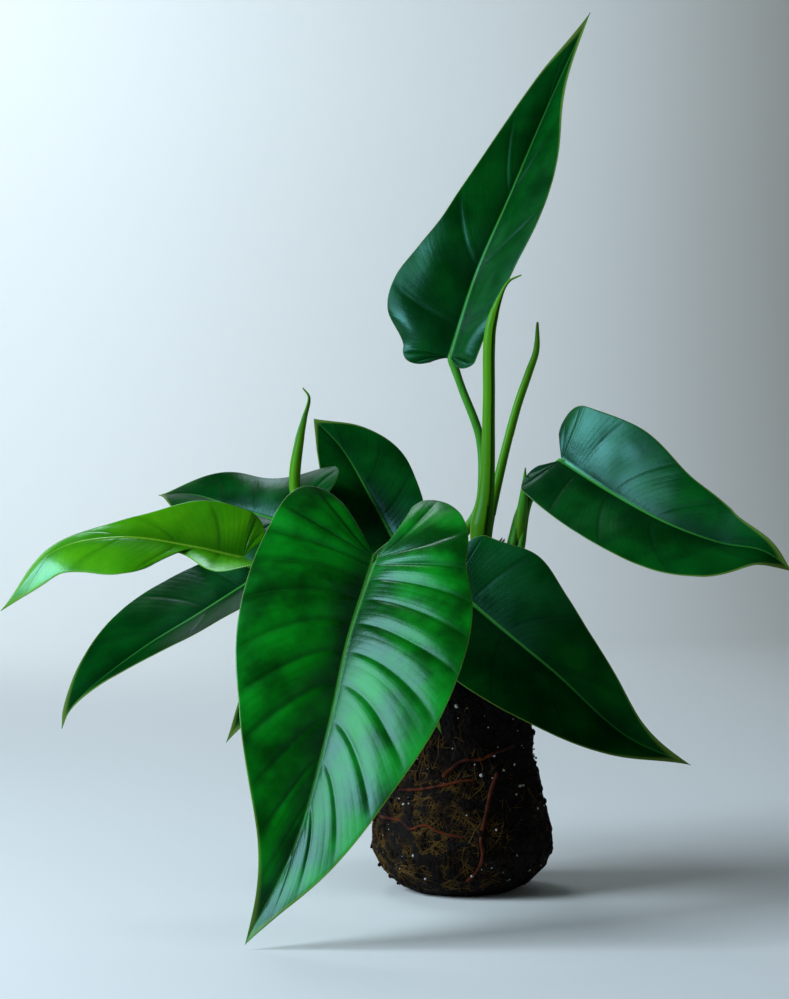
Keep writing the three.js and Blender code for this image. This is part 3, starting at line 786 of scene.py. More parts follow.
def petiole_shell(leaf):
    """A petiole from inside its stem to under the blade: a round bar with a groove along it, whose
    depth falls off as e^-(angle / 0.3)^2, and a swelling by an eighth before the blade."""
    (joint,), (upward,), _ = midrib_frames(leaf, np.zeros(1))
    onward = smooth_path(leaf.midrib)[2][0]
    joint = joint - RIB_SEAT * leaf.girth[-1] * upward
    neck = joint + NECK_LENGTH * unit(np.array(leaf.petiole[-1]) - joint)
    end = joint + END_REACH * onward - END_SEAT * leaf.girth[-1] * upward
    path = [*leaf.petiole, neck, joint, end]
    length = smooth_path(path)[0][-1]
    at_knuckle = 1 - KNUCKLE_WAY / length
    centre, depth = leaf.groove
    centre = math.radians(centre)

    def radius_at(share):
        girth = np.interp(share, np.linspace(0, at_knuckle, len(leaf.girth)), leaf.girth)
        knuckle = 1 + KNUCKLE_SWELL * bell((share - at_knuckle) * length, KNUCKLE_LENGTH)
        return girth * knuckle * blend(1, END_SHARE, ease(share, 1 - END_TAPER / length, 1))

    def section(share, angle):
        groove = bell(turn_from(angle, centre), GROOVE_WIDTH)
        return 1 - depth * groove * ease(share, 0.05, 0.2) * ease(1 - share, 0.02, 0.1)

    def seam_way(share, angle):
        return 1.4 * np.abs(turn_from(angle, centre)) * radius_at(share)

    return tube(path, radius_at, max(40, int(length / 2.5)), 36, section, seam_way)


def sheath_point_shell():
    """The free point of a sheath, whose radius shrinks as share^1.6."""

    def radius_at(share):
        return blend(*SHEATH_RADII, share**1.6)

    def seam_way(share, angle):
        return NO_SEAM

    return tube(SHEATH_TIP, radius_at, 50, 28, seam_way=seam_way)


def stem_shell(path, radius, seed):
    """A stem that swells by a cosine at each ring of a fallen leaf, with a fine ridge on the ring
    and value noise of 0.35 mm and 0.15 mm over all."""

    def radius_at(share):
        ring = np.cos(2 * np.pi * STEM_RINGS * share)
        return radius * (1 + RING_SWELL * ring) + RING_RIDGE * ease(ring, 0.9, 1)

    shell = tube(path, radius_at, 110, 44)
    places = shell.places
    outward = unit((places - places.mean(axis=0)) * (1, 1, 0.05))
    bumps = 0.35 * noise(places, 5, seed) + 0.15 * noise(places, 2, seed)
    return shell._replace(places=places + outward * bumps[:, None])


def spear_shell(spear):
    """A rolled leaf: the radius grows by a tenth once round from the seam, where it steps back down,
    so the free edge stands over the roll. The seam turns round the spear by the twist."""

    def from_seam(share, angle):
        seam = np.radians(spear.seam + spear.twist * share)
        return (angle - seam) % (2 * np.pi) / (2 * np.pi)

    def radius_at(share):
        return np.interp(share, np.linspace(0, 1, len(spear.profile)), spear.profile)

    def section(share, angle):
        way = from_seam(share, angle)
        lip = LIP_RISE * bell(1 - way, 0.05) - LIP_FALL * bell(way, 0.035)
        return 0.95 + ROLL_GROWTH * way + lip * ease(share, 0.02, 0.1)

    def seam_way(share, angle):
        return from_seam(share, angle) * 2 * np.pi * radius_at(share)

    return tube(spear.path, radius_at, 160, 56, section, seam_way)


def dried_shell(path, girth, seed):
    """A torn paper-thin sheath: an open arc of 230 degrees round its path, crinkled by a cosine and
    ragged at its end by value noise, with its inner face 0.4 mm inside the outer one."""
    shares = np.linspace(0, 1, 40)
    arc = np.radians(np.linspace(-DRIED_TURN, DRIED_TURN, 36))
    here, side, other, length = path_frames(path, shares)
    radius = blend(*girth, shares)[:, None] * np.ones_like(arc)
    radius = radius * (1 + 0.12 * np.cos(5 * arc) * shares[:, None])
    ragged = noise(np.stack([arc * 3, arc * 0, arc * 0], axis=-1), 1, seed)[None, :]
    slip = ragged * DRIED_TEAR * length * ease(shares, 0.5, 1)[:, None]
    ring = ring_ways(arc, side, other)
    centre = here[:, None] + np.cross(side, other)[:, None] * slip[..., None]
    wall = np.minimum(1, np.minimum(shares, 1 - shares) * 30)[:, None]
    wall = wall * np.sqrt(np.clip(1 - (np.abs(arc) / np.radians(DRIED_TURN)) ** 8, 0, 1))
    outer = centre + ring * (radius + DRIED_WALL / 2 * wall)[..., None]
    inner = centre + ring * (radius - DRIED_WALL / 2 * wall)[..., None]
    return tube_shell(np.concatenate([outer, inner[:, ::-1]], axis=1))


# The root ball and what shows on it

def ball_radius(angle, height):
    """Radius of the ball's side: its profile against height, times one plus the sum of swells."""
    radii, heights = np.array(BALL_PROFILE, float).T
    lump = sum(s * np.sin(n * angle + height / rise + phase) for s, n, rise, phase in LUMPS)
    return np.interp(height, heights, radii) * (1 + lump)


def on_ball(angle, height, out=0):
    """A place on the side of the ball, or a little out from it."""
    radius = ball_radius(angle, height) + out
    return np.stack([radius * np.cos(angle), radius * np.sin(angle), height + 0 * radius], axis=-1)


def moved_out(places, out):
    """Places moved level away from the ball's axis."""
    away = 1 + out / np.linalg.norm(places[..., :2], axis=-1)
    return np.concatenate([places[..., :2] * away[..., None], places[..., 2:]], axis=-1)


def ball_shell(rows, columns, seed):
    """The ball as rings: from the middle of its flat underside out to the edge, up the side and in
    over the top. The side stands out by the crumbs, less by the underside, which stays flat."""
    radii, heights = np.array(BALL_PROFILE, float).T
    steps = np.append(0, np.cumsum(np.hypot(np.diff(radii), np.diff(heights))))
    height = np.interp(np.linspace(0, 1, rows) * steps[-1], steps, heights)[:, None]
    rings = on_ball(full_turn(columns)[None, :], height)
    rings = moved_out(rings, unevenness(rings, CRUMBS, seed) * ease(height, 0, 6))
    floor = rings[:1] * np.linspace(0, 1, 12)[:-1, None, None]
    over = np.linspace(0, 1, 40)[1:, None, None]
    top = rings[-1:] * (1 - over * (1, 1, 0))
    over = over[..., 0]
    bumps = 0.8 * noise(top, 4, seed) * ease(1 - over, 0, 0.1)
    top[..., 2] = blend(BALL_PROFILE[-1][1], BALL_CROWN, over) + bumps
    return tube_shell(np.vstack([floor, rings, top]))


def root_shells(angle, height, radius, sides):
    """Tubes that follow the side of the ball, given by turns and heights: their middle lies 0.55
    radii out of it, and their rings are radius * (cos * outward + sin * the way square to it)."""
    centres = moved_out(on_ball(angle, height), ROOT_SEAT * radius)
    outward = np.stack([np.cos(angle), np.sin(angle), 0 * angle], axis=-1)
    onward = unit(np.gradient(centres, axis=1))
    ring = ring_ways(full_turn(sides), outward, unit(np.cross(outward, onward)))
    places = centres[:, :, None] + ring * radius[..., None, None]
    return joined([tube_shell(one) for one in places])


def coarse_root_shell():
    """The coarse roots, whose turns and heights follow a smooth path and whose radius shrinks by a
    third and wavers by an eighth on the way."""
    share = np.linspace(0, 1, COARSE_STEPS)
    shells = []
    for number, (radius, turns) in enumerate(COARSE_ROOTS):
        lengths, route, _ = smooth_path([(turn, height, 0) for turn, height in turns])
        route = read_row(lengths, route, np.linspace(0, lengths[-1], COARSE_STEPS))[None]
        girth = radius * blend(1, 0.65, share) * (1 + 0.12 * np.sin(share * 40 + number))
        girth = girth * closing(share, 30)
        shells.append(root_shells(np.radians(route[..., 0]), route[..., 1], girth[None], 10))
    return joined(shells)


def wander(draw, kind, around, start, heading, stride):
    """Turns and heights of roots that creep over the ball: the heading is a running sum of small
    random turns, and the turn and height are running sums of its parts."""
    heading = heading + np.cumsum(draw.normal(0, kind.turn, (len(start), kind.steps)), axis=1)
    height = start + np.cumsum(stride * np.sin(heading), axis=1)
    height = ROOTS_LOWEST + np.abs(height - ROOTS_LOWEST)
    height = ROOTS_HIGHEST - np.abs(ROOTS_HIGHEST - height)
    return around + np.cumsum(stride * np.cos(heading), axis=1) / BALL_WIDEST, height, heading


def tapered(draw, kind, count):
    """Radii of roots along their way: thin to thick at the start, half of that at the end, and
    nothing at the very ends."""
    share = np.linspace(0, 1, kind.steps)[None, :]
    girth = blend(*kind.girth, draw.random((count, 1)) ** 2) * blend(1, 0.5, share)
    return girth * closing(share, 12)


def fine_root_shell(runners, branches, seed):
    """A web of fine roots: runners that start low on the ball, mostly at its left front, and
    branches that leave a runner at a random step and a wide angle and soon end."""
    draw = np.random.default_rng(seed)
    start = blend(*RUNNER_START, draw.random((runners, 1)) ** 1.3)
    leaning = draw.random((runners, 1)) < ROOTS_LEANING
    spread = draw.normal(ROOTS_TOWARDS, 0.5, (runners, 1))
    around = np.where(leaning, spread, draw.random((runners, 1)) * 2 * np.pi)
    stride = blend(*RUNNER.stride, draw.random((runners, 1)))
    heading = draw.choice([0, np.pi, np.pi / 2], (runners, 1)) + draw.normal(0, 0.5, (runners, 1))
    angle, height, heading = wander(draw, RUNNER, around, start, heading, stride)
    main = root_shells(angle, height, tapered(draw, RUNNER, runners), 4)
    parent = draw.integers(runners, size=branches)
    step = draw.integers(BRANCH_LEAST, RUNNER.steps - BRANCH_LEAST - 1, size=branches)
    around, start, heading = (row[parent, step][:, None] for row in (angle, height, heading))
    side = draw.choice([-1, 1], (branches, 1))
    heading = heading + side * draw.uniform(*BRANCH_ANGLE, (branches, 1))
    stride = draw.uniform(*BRANCH.stride, (branches, 1))
    angle, height, _ = wander(draw, BRANCH, around, start, heading, stride)
    twigs = root_shells(angle, height, tapered(draw, BRANCH, branches), 4)
    return joined([main, twigs])


def grain_shell(count, size, spread, seed):
    """Grains that sit in the side of the ball: a small ball each, stretched at random along three
    axes, dented by value noise and about half sunk."""
    draw = np.random.default_rng(seed)
    ball = bmesh.new()
    bmesh.ops.create_icosphere(ball, subdivisions=1, radius=1)
    corners = np.array([corner.co for corner in ball.verts])
    faces = np.array([[corner.index for corner in face.verts] for face in ball.faces])
    ball.free()
    number = np.arange(count)[:, None, None]
    angle = draw.random(count) * 2 * np.pi
    height = blend(*spread, draw.random(count))
    centres = on_ball(angle, height, draw.normal(0.3, 0.5, count))
    stretch = blend(*size, draw.random((count, 1, 1)) ** 2) * blend(0.6, 1, draw.random((count, 1, 3)))
    dent = 1 + 0.28 * noise(corners + 10 * number, 0.8, seed)[..., None]
    places = centres[:, None] + corners * stretch * dent
    triangles = faces + len(corners) * number
    return Shell(places.reshape(-1, 3), triangles.reshape(-1, 3), {})


# Finishes

COLOUR_BELOW = 6  # the colour sockets of a mix node, which share their names with others
COLOUR_ABOVE = 7
MIXED_COLOUR = 2
EASED = {"interpolation_type": "SMOOTHSTEP"}  # a map range node that goes by 3t^2 - 2t^3
LEAF_GLOSS = 0.3  # how strongly a leaf's wax mirrors, where 0.5 is what its IOR gives
STALK_GLOSS = 0.14
EARTH_GLOSS = 0.12


def linear(colour):
    """An sRGB hex colour such as 4F8F22 as linear red, green, blue and alpha: a channel c becomes
    c / 12.92 up to 0.04045 and ((c + 0.055) / 1.055)^2.4 above."""
    channels = np.array([int(colour[k : k + 2], 16) / 255 for k in (0, 2, 4)])
    low = channels / 12.92
    high = ((channels + 0.055) / 1.055) ** 2.4
    return (*np.where(channels <= 0.04045, low, high).tolist(), 1.0)


# Living leaf skin: plant wax has an IOR near 1.45, the skin below it tints what it mirrors, and
# green light goes deepest into it.
LIVING_SKIN = {
    "IOR": 1.45,
    "Specular Tint": linear("95FFF6"),
    "Subsurface Weight": 0.06,
    "Subsurface Radius": (0.35, 1.0, 0.12),
}


def give(node, inputs):
    """Gives a node's inputs, by name or in the order of its sockets, a value or a link."""
    named = inputs.items() if isinstance(inputs, dict) else enumerate(inputs)
    for name, value in named:
        if isinstance(value, bpy.types.NodeSocket):
            node.id_data.links.new(value, node.inputs[name])
        else:
            node.inputs[name].default_value = value


def add_node(tree, kind, inputs=(), out=0, **settings):
    """Adds a node, sets its properties, gives it its inputs, and returns one of its outputs, or the
    node itself where out is None."""
    node = tree.nodes.new("ShaderNode" + kind)
    for name, value in settings.items():
        setattr(node, name, value)
    give(node, inputs)
    return node if out is None else node.outputs[out]


def new_finish(name, noises=(), fields=()):
    """An empty material, its node tree, its shader, which is joined to the output, and its
    patterns: a noise for each pair of a scale, in swells per metre, and a detail, and the piece's
    own values for each field. Three scales draw a noise out along an axis."""
    material = bpy.data.materials.new(name)
    material.use_nodes = True
    tree = material.node_tree
    tree.nodes.clear()
    shader = add_node(tree, "BsdfPrincipled", out=None)
    add_node(tree, "OutputMaterial", {"Surface": shader.outputs["BSDF"]}, out=None)
    place = add_node(tree, "TexCoord", out="Object")
    patterns = []
    for scale, detail in noises:
        vector = place
        if isinstance(scale, tuple):
            vector = add_node(tree, "Mapping", {"Vector": place, "Scale": scale})
            scale = 1.0
        inputs = {"Vector": vector, "Scale": scale, "Detail": detail}
        patterns.append(add_node(tree, "TexNoise", inputs, out="Fac"))
    for field in fields:
        patterns.append(add_node(tree, "Attribute", out="Fac", attribute_name=field))
    return material, tree, shader, patterns


def layered(tree, colour, *layers):
    """Colours laid over one another. Each layer has a pattern, a start, a stop, a share and a
    colour. The share rises from 0 at the start to the given one at the stop, by 3t^2 - 2t^3, and
    the result is below * (1 - share) + colour * share."""
    below = linear(colour)
    for pattern, start, stop, most, above in layers:
        share = add_node(tree, "MapRange", (pattern, start, stop, 0.0, most), **EASED)
        inputs = {0: share, COLOUR_BELOW: below, COLOUR_ABOVE: linear(above)}
        below = add_node(tree, "Mix", inputs, MIXED_COLOUR, data_type="RGBA")
    return below


def dress(tree, shader, colour, roughness, height, strength, depth):
    """Gives a shader its colour, its roughness and a bump. The roughness is a value, a link, or a
    pattern with a start, a stop and the values there. The bump's depth is in metres."""
    if isinstance(roughness, tuple):
        roughness = add_node(tree, "MapRange", roughness, **EASED)
    relief = add_node(tree, "Bump", {"Height": height, "Strength": strength, "Distance": depth})
    give(shader, {"Base Color": colour, "Roughness": roughness, "Normal": relief})


def leaf_finish(name, dark, light, crease, rib, roughness, coat, tip_gloss, patchy):
    """A waxy leaf skin: greens that drift over some 30 mm, painted shade in the crease colour beside
    the midrib and along every side vein, a paler midrib, a thin yellow-green margin, fine veins 4 mm
    apart and wrinkles some 6 mm apart that show as relief, a paler and duller underside, and a gloss
    that comes and goes over some 60 mm and may fade towards the tip."""
    material, tree, shader, patterns = new_finish(
        name,
        ((32.0, 4.0), (900.0, 2.0), (170.0, 3.0), (18.0, 2.0)),
        ("rib_way", "edge_way", "vein_way", "tip_way", "under_side"),
    )
    drift, pores, wrinkles, patches, from_rib, from_edge, from_vein, tip, under = patterns
    rib_share = add_node(tree, "MapRange", (tip, 0.3, 0.75, 0.85, 0.35), **EASED)
    colour = layered(
        tree,
        dark,
        (drift, 0.3, 0.7, 1.0, light),
        # Painted shade: darker beside the midrib and in the crease along each side vein, where the fold
        # and the pleats shade the blade.
        (from_rib, 14.0, 2.0, 0.5, crease),
        (from_vein, 5.0, 0.2, 0.35, crease),
        (from_vein, 0.3, 0.0, 0.1, rib),
        (from_edge, 0.7, 0.15, 0.35, "8FB04A"),
        (from_rib, 1.1, 0.6, rib_share, rib),
        (under, 0.0, 1.0, 0.35, "4F8A45"),
    )
    rough = (drift, 0.25, 0.75, roughness - 0.05, roughness + 0.1)
    rough = add_node(tree, "MapRange", rough, **EASED)
    rough = add_node(tree, "Math", (under, 0.15, rough), operation="MULTIPLY_ADD")
    fine_vein = add_node(tree, "Math", (from_vein, FINE_VEINS / 2), operation="PINGPONG")
    relief = add_node(tree, "MapRange", (fine_vein, 0.0, 1.2, 0.0, 0.35), **EASED)
    for pattern, height in ((pores, 0.35), (wrinkles, 2.4)):
        relief = add_node(tree, "Math", (pattern, height, relief), operation="MULTIPLY_ADD")
    dress(tree, shader, colour, rough, relief, 0.4, 0.0002)
    gloss = (tip, 0.15, 0.6, LEAF_GLOSS, LEAF_GLOSS * tip_gloss)
    gloss = add_node(tree, "MapRange", gloss, **EASED)
    patches = add_node(tree, "MapRange", (patches, 0.38, 0.6, 1 - patchy, 1 + patchy), **EASED)
    gloss = add_node(tree, "Math", (gloss, patches), operation="MULTIPLY")
    give(shader, LIVING_SKIN | {"Specular IOR Level": gloss, "Subsurface Scale": 0.001})
    give(shader, {"Coat Weight": coat, "Coat Roughness": 0.26})
    return material


def stalk_finish(name, foot, top, end, streak, groove, roughness):
    """A petiole's or rolled leaf's skin: one green at its foot, another at its top and a third
    colour at its very end, lengthwise streaks 1 mm wide, blotches some 17 mm across, painted shade
    along the groove or beside the free edge, and a thin clear wax."""
    material, tree, shader, (streaks, blotches, from_seam, tip) = new_finish(
        name, (((900.0, 900.0, 22.0), 3.0), (60.0, 3.0)), ("seam_way", "tip_way")
    )
    colour = layered(
        tree,
        foot,
        (tip, 0.05, 0.6, 1.0, top),
        (streaks, 0.45, 0.75, 0.45, streak),
        (blotches, 0.5, 0.75, 0.3, streak),
        # Painted shade in the groove of a petiole and beside the free edge of a rolled leaf.
        (from_seam, 2.4, 0.6, 0.85, groove),
        (tip, 0.95, 0.99, 0.8, end),
    )
    rough = (blotches, 0.3, 0.7, roughness, roughness + 0.1)
    dress(tree, shader, colour, rough, streaks, 0.25, 0.0002)
    give(shader, LIVING_SKIN | {"Specular IOR Level": STALK_GLOSS, "Subsurface Scale": 0.002})
    give(shader, {"Coat Weight": 0.05, "Coat Roughness": 0.25})
    return material


def stem_finish():
    """Ringed stem skin: olive green between corky brown patches some 6 mm across."""
    material, tree, shader, (cork,) = new_finish("corky green stem", ((160.0, 6.0),))
    layers = ((cork, 0.45, 0.6, 1.0, "6B4A2A"), (cork, 0.62, 0.75, 0.8, "33241A"))
    colour = layered(tree, "5D6B2C", *layers)
    dress(tree, shader, colour, (cork, 0.4, 0.7, 0.5, 0.85), cork, 0.5, 0.0005)
    return material


def papery_finish():
    """A dried sheath: brown paper with lengthwise fibres 1 mm wide in red brown and straw, dull all
    over."""
    noises = (((1100.0, 1100.0, 60.0), 4.0),)
    material, tree, shader, (fibre,) = new_finish("papery dried sheath", noises)
    layers = ((fibre, 0.4, 0.6, 1.0, "7A4526"), (fibre, 0.6, 0.8, 0.8, "A5713F"))
    colour = layered(tree, "4A2A1B", *layers)
    dress(tree, shader, colour, 0.8, fibre, 0.6, 0.0003)
    return material


def soil_finish():
    """Moist peat: nearly black brown, with lighter fibres and crumbs from 1 to 10 mm, a little
    gloss where it is wet and a rough grain of 2 mm."""
    noises = ((240.0, 8.0), (35.0, 3.0))
    material, tree, shader, (crumbs, damp) = new_finish("moist peat", noises)
    place = add_node(tree, "TexCoord", out="Object")
    grit = add_node(tree, "TexVoronoi", {"Vector": place, "Scale": 420.0}, out="Distance")
    height = add_node(tree, "Math", (crumbs, grit), operation="ADD")
    layers = ((crumbs, 0.45, 0.7, 0.8, "1A100A"), (damp, 0.4, 0.65, 0.5, "0A0706"))
    colour = layered(tree, "070403", *layers)
    dress(tree, shader, colour, (damp, 0.35, 0.65, 0.95, 0.75), height, 0.8, 0.0009)
    give(shader, {"Specular IOR Level": EARTH_GLOSS})
    return material


def root_finish(name, dark, light):
    """Living root skin: a darker and a lighter brown that drift over some 12 mm, with a grain finer
    than a millimetre and little gloss."""
    material, tree, shader, (drift, skin) = new_finish(name, ((85.0, 3.0), (1400.0, 2.0)))
    colour = layered(tree, dark, (drift, 0.35, 0.65, 1.0, light))
    dress(tree, shader, colour, (skin, 0.3, 0.7, 0.55, 0.75), skin, 0.4, 0.0002)
    give(shader, {"Specular IOR Level": EARTH_GLOSS})
    return material


def perlite_finish():
    """Expanded perlite: chalky white glass foam with grey pits under a millimetre across."""
    material, tree, shader, (pits,) = new_finish("expanded perlite", ((1200.0, 3.0),))
    colour = layered(tree, "8F8B82", (pits, 0.35, 0.6, 1.0, "DAD7CF"))
    dress(tree, shader, colour, 0.85, pits, 0.6, 0.0003)
    return material


def stage_finish(colour):
    """Pale seamless paper that turns from a cool white at the left to a warm grey at the right,
    which is the falloff of the light from the left painted into its colour.
    """
    material, tree, shader, _ = new_finish("pale seamless paper")
    place = add_node(tree, "TexCoord", out="Object")
    across = add_node(tree, "SeparateXYZ", (place,))
    # Painted light falloff: the paper darkens to a warm grey towards the right, away from the window
    # light.
    painted_falloff = layered(tree, colour, (across, 0.2, 1.3, 1.0, "B0ACA0"))
    give(shader, {"Base Color": painted_falloff, "Roughness": 0.9})
    return material


# Settings

class LeafSettings(bpy.types.PropertyGroup):
    """What a user would change on the leaves."""

    thickness: FloatProperty(name="Thickness", description="Thickness of a blade between its veins",
                             default=0.0007, min=0.0003, max=0.0015, unit="LENGTH")
    mature: StringProperty(name="Mature leaf", description="sRGB hex of mature leaves",
                           default="01300A")
    front: StringProperty(name="Front leaf", description="sRGB hex of the large front leaf",
                          default="034408")
    young: StringProperty(name="Young leaf", description="sRGB hex of the youngest leaf",
                          default="3C9408")
    seed: IntProperty(name="Seed", description="Start of the random unevenness", default=11)


class RootBallSettings(bpy.types.PropertyGroup):
    """What a user would change on the root ball."""

    fine_roots: IntProperty(name="Fine roots", description="How many fine roots run over the ball",
                            default=230)
    branches: IntProperty(name="Branches", description="How many side roots the fine roots have",
                          default=900)
    perlite: IntProperty(name="Perlite", description="How many white grains show", default=220)
    crumbs: IntProperty(name="Crumbs", description="How many crumbs cling to the ball", default=700)
    seed: IntProperty(name="Seed", description="Start of the random places", default=5)


class StageSettings(bpy.types.PropertyGroup):
    """What a user would change on the stage."""

    paper: StringProperty(name="Paper", description="sRGB hex of the backdrop", default="F2F4F0")
    key_power: FloatProperty(name="Window light", description="Power of the light at the upper left",
                             default=55.0, min=0.0, unit="POWER")
    wall_power: FloatProperty(name="Wall light", description="Power of the light on the backdrop",
                              default=46.0, min=0.0, unit="POWER")
    sky_power: FloatProperty(name="Sky light", description="Power of the small light high behind",
                             default=4.5, min=0.0, unit="POWER")
    fill_power: FloatProperty(name="Fill light", description="Power of the light at the right",
                              default=1.2, min=0.0, unit="POWER")


# Operators

class PHILODENDRON_OT_blades(bpy.types.Operator):
    """Builds every leaf blade"""

    bl_idname = "philodendron.blades"
    bl_label = "Leaf Blades"

    def execute(self, context):
        settings = context.scene.philodendron_leaves
        # After the light green, each finish gives the colour of the painted shade beside the midrib and
        # along the side veins.
        mature = ("034A12", "01220A", "3A8A34", 0.32, 0.0, 0.1, 0.6)
        front = ("048C12", "012A05", "4E9C40", 0.32, 0.12, 1, 0.1)
        young = ("58B006", "2A7A04", "8CCB30", 0.22, 0.25, 1, 0.4)
        finishes = {
            "mature_leaf": leaf_finish("waxy mature leaf", settings.mature, *mature),
            "front_leaf": leaf_finish("waxy full-grown leaf", settings.front, *front),
            "young_leaf": leaf_finish("soft young leaf", settings.young, *young),
        }
        for number, leaf in enumerate(LEAVES):
            shell = blade_shell(leaf, settings.thickness / MM, settings.seed + 10 * number)
            add_piece(f"{leaf.name}_leaf", shell, finishes[leaf.slot], leaf.slot, f"{leaf.name}_blade")
        return {"FINISHED"}


class PHILODENDRON_OT_petioles(bpy.types.Operator):
    """Builds every petiole, and the sheath on the right one"""

    bl_idname = "philodendron.petioles"
    bl_label = "Petioles"

    def execute(self, context):
        # The last colour is the painted shade along the groove.
        colours = ("569012", "408C22", "5A3418", "24601A", "143A0A")
        finish = stalk_finish("smooth green petiole", *colours, roughness=0.4)
        for leaf in LEAVES:
            shell = petiole_shell(leaf)
            if leaf.name == "right":
                shell = joined([shell, sheath_point_shell()])
            add_piece(f"{leaf.name}_stalk", shell, finish, "petiole", f"{leaf.name}_petiole")
        return {"FINISHED"}


class PHILODENDRON_OT_stems(bpy.types.Operator):
    """Builds the three short stems"""

    bl_idname = "philodendron.stems"
    bl_label = "Stems"

    def execute(self, context):
        finish = stem_finish()
        for number, (name, path, radius) in enumerate(STEMS):
            add_piece(f"{name}_ringed", stem_shell(path, radius, number), finish, "stem", name)
        return {"FINISHED"}


class PHILODENDRON_OT_spears(bpy.types.Operator):
    """Builds the rolled leaves"""

    bl_idname = "philodendron.spears"
    bl_label = "Rolled Leaves"

    def execute(self, context):
        # The last colour is the painted shade beside the free edge.
        colours = ("3C7604", "4C8C08", "5A8A1C", "3A7A10", "1A460A")
        finish = stalk_finish("rolled young leaf", *colours, roughness=0.36)
        for spear in SPEARS:
            add_piece(f"{spear.name}_rolled", spear_shell(spear), finish, "spear", spear.name)
        return {"FINISHED"}


class PHILODENDRON_OT_dried_sheaths(bpy.types.Operator):
    """Builds the papery remains of old sheaths"""

    bl_idname = "philodendron.dried_sheaths"
    bl_label = "Dried Sheaths"

    def execute(self, context):
        finish = papery_finish()
        for number, (name, path, girth) in enumerate(DRIED_SHEATHS):
            shell = dried_shell(path, girth, number + 3)
            add_piece(f"{name}_torn", shell, finish, "dried_sheath", name)
        return {"FINISHED"}


class PHILODENDRON_OT_root_ball(bpy.types.Operator):
    """Builds the root ball, its roots, perlite and crumbs"""

    bl_idname = "philodendron.root_ball"
    bl_label = "Root Ball"

    def execute(self, context):
        settings = context.scene.philodendron_ball
        soil = soil_finish()
        root = root_finish("red brown root", "240A04", "58240A")
        fine_root = root_finish("straw brown fine root", "1A0F06", "5A4218")
        seed = settings.seed
        fine = fine_root_shell(settings.fine_roots, settings.branches, seed)
        grains = grain_shell(settings.perlite, (0.4, 1.5), (6, 146), seed + 1)
        crumbs = grain_shell(settings.crumbs, (0.7, 2.6), (3, 148), seed + 2)
        for name, shell, finish in (
            ("root_ball_soil", ball_shell(160, 340, seed), soil),
            ("root_ball_coarse_roots", coarse_root_shell(), root),
            ("root_ball_fine_roots", fine, fine_root),
            ("root_ball_perlite", grains, perlite_finish()),
            ("root_ball_crumbs", crumbs, soil),
        ):
            add_piece(name, shell, finish, "soil", "root_ball")
        return {"FINISHED"}


# The stage, in metres

WALL_WAY = 3.8  # how far behind the plant the backdrop stands upright
WALL_HEIGHT = 5
WALL_WIDTH = 14
WALL_TURN = 1.2  # radius of its turn from the floor up to the wall
PLANT_MIDDLE = (0, 0, 0.25)
CAMERA_PLACE = (-0.045, -1.5, 0.259)
CAMERA_LENS = 81.0
CAMERA_SENSOR = 36.0


class PHILODENDRON_OT_stage(bpy.types.Operator):
    """Builds the floor and backdrop, the lights and the camera"""

    bl_idname = "philodendron.stage"
    bl_label = "Stage"

    def execute(self, context):
        settings = context.scene.philodendron_stage
        add_backdrop(stage_finish(settings.paper))
        add_light("window light", (-1.63, -0.63, 1.1), PLANT_MIDDLE, 1.1, "DCEEFF", settings.key_power)
        add_light("wall light", (-1.6, 2.0, 1.8), (0.15, 3.8, 1.2), 1.2, "E6F3FF", settings.wall_power)
        add_light("sky light", (-0.55, 1.15, 1.7), (-0.02, -0.1, 0.25), 0.5, "E6F3FF",
                  settings.sky_power)
        add_light("fill light", (1.6, -1.2, 0.9), PLANT_MIDDLE, 1.2, "F4F6FF", settings.fill_power)
        add_world("C9D4DC", 0.036)
        context.scene.view_settings.view_transform = "Standard"
        add_camera()
        return {"FINISHED"}


def add_backdrop(finish):
    """A floor that turns up into a wall: along y it is flat, then a quarter circle, then upright.
    It is one strip."""
    turn = np.linspace(0, np.pi / 2, 40)
    y = np.concatenate([[-WALL_WAY], WALL_WAY - WALL_TURN * (1 - np.sin(turn)), [WALL_WAY]])
    z = np.concatenate([[0], WALL_TURN * (1 - np.cos(turn)), [WALL_HEIGHT]])
    left = np.stack([np.full_like(y, -WALL_WIDTH / 2), y, z], axis=-1)
    places = np.concatenate([left, left * (-1, 1, 1)])
    k = np.arange(len(y) - 1)
    faces = np.stack([k, k + len(y), k + len(y) + 1, k + 1], axis=-1)
    mesh = bpy.data.meshes.new("backdrop")
    mesh.from_pydata(places, [], faces.tolist())
    mesh.shade_smooth()
    mesh.materials.append(finish)
    sheet = bpy.data.objects.new("backdrop", mesh)
    bpy.context.scene.collection.objects.link(sheet)


def add_light(name, place, aim, size, colour, power):
    """A square area light at a place, turned so that it shines at the aim."""
    data = bpy.data.lights.new(name, "AREA")
    data.size = size
    data.color = linear(colour)[:3]
    data.energy = power
    lamp = bpy.data.objects.new(name, data)
    lamp.location = place
    lamp.rotation_euler = (Vector(aim) - Vector(place)).to_track_quat("-Z", "Y").to_euler()
    bpy.context.scene.collection.objects.link(lamp)


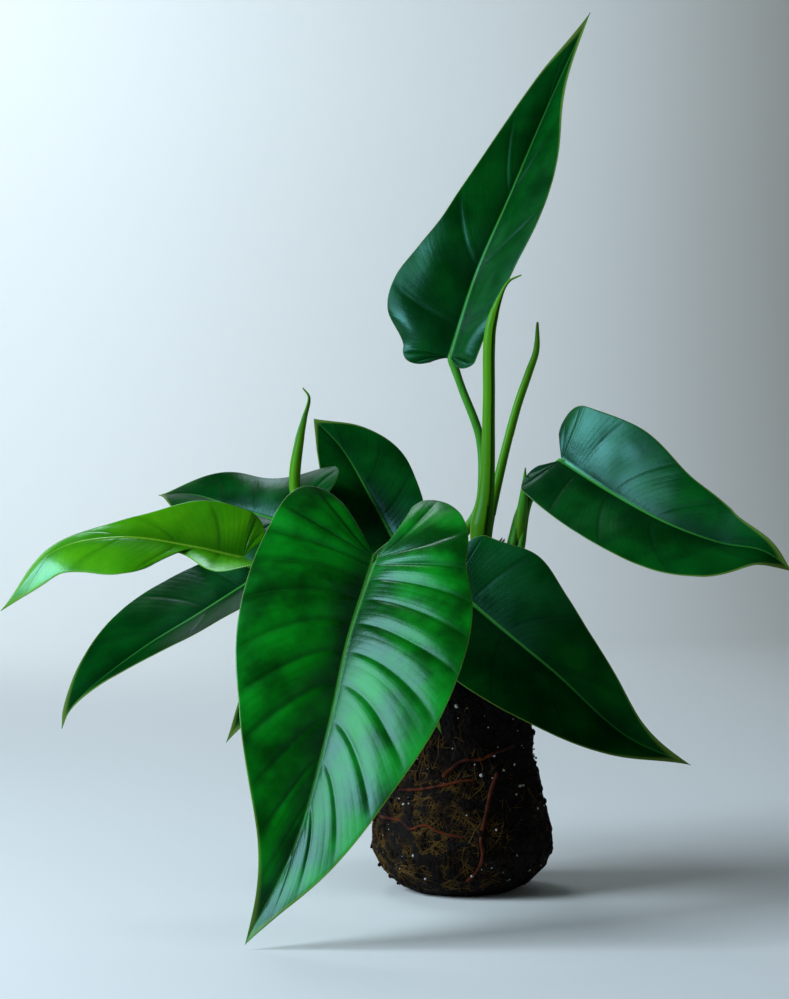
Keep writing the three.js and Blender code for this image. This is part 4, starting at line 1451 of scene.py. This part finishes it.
def add_world(colour, strength):
    """The soft light that comes from all sides."""
    world = bpy.data.worlds.new("pale room")
    world.use_nodes = True
    give(world.node_tree.nodes["Background"], {"Color": linear(colour), "Strength": strength})
    bpy.context.scene.world = world


def add_camera():
    """A level camera 1.5 m in front of the plant, a little left of its middle."""
    data = bpy.data.cameras.new("camera")
    data.lens = CAMERA_LENS
    data.sensor_width = CAMERA_SENSOR
    camera = bpy.data.objects.new("camera", data)
    camera.location = CAMERA_PLACE
    camera.rotation_euler = (math.pi / 2, 0, 0)
    bpy.context.scene.collection.objects.link(camera)
    bpy.context.scene.camera = camera


# Panel and registration

STEPS = (
    PHILODENDRON_OT_blades,
    PHILODENDRON_OT_petioles,
    PHILODENDRON_OT_stems,
    PHILODENDRON_OT_spears,
    PHILODENDRON_OT_dried_sheaths,
    PHILODENDRON_OT_root_ball,
    PHILODENDRON_OT_stage,
)
SETTINGS = {
    "philodendron_leaves": LeafSettings,
    "philodendron_ball": RootBallSettings,
    "philodendron_stage": StageSettings,
}


class PHILODENDRON_PT_panel(bpy.types.Panel):
    """Lists the settings and the steps in the sidebar"""

    bl_label = "Philodendron"
    bl_space_type = "VIEW_3D"
    bl_region_type = "UI"
    bl_category = "Philodendron"

    def draw(self, context):
        for name, group in SETTINGS.items():
            for setting in group.__annotations__:
                self.layout.prop(getattr(context.scene, name), setting)
        for step in STEPS:
            self.layout.operator(step.bl_idname)


def register():
    for item in (*SETTINGS.values(), *STEPS, PHILODENDRON_PT_panel):
        bpy.utils.register_class(item)
    for name, group in SETTINGS.items():
        setattr(bpy.types.Scene, name, PointerProperty(type=group))


def unregister():
    for name in SETTINGS:
        delattr(bpy.types.Scene, name)
    for item in (PHILODENDRON_PT_panel, *reversed(STEPS), *SETTINGS.values()):
        bpy.utils.unregister_class(item)


def main():
    """Registers the classes and runs every step in order."""
    register()
    for step in STEPS:
        group, name = step.bl_idname.split(".")
        getattr(getattr(bpy.ops, group), name)()
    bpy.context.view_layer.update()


if __name__ == "__main__":
    main()
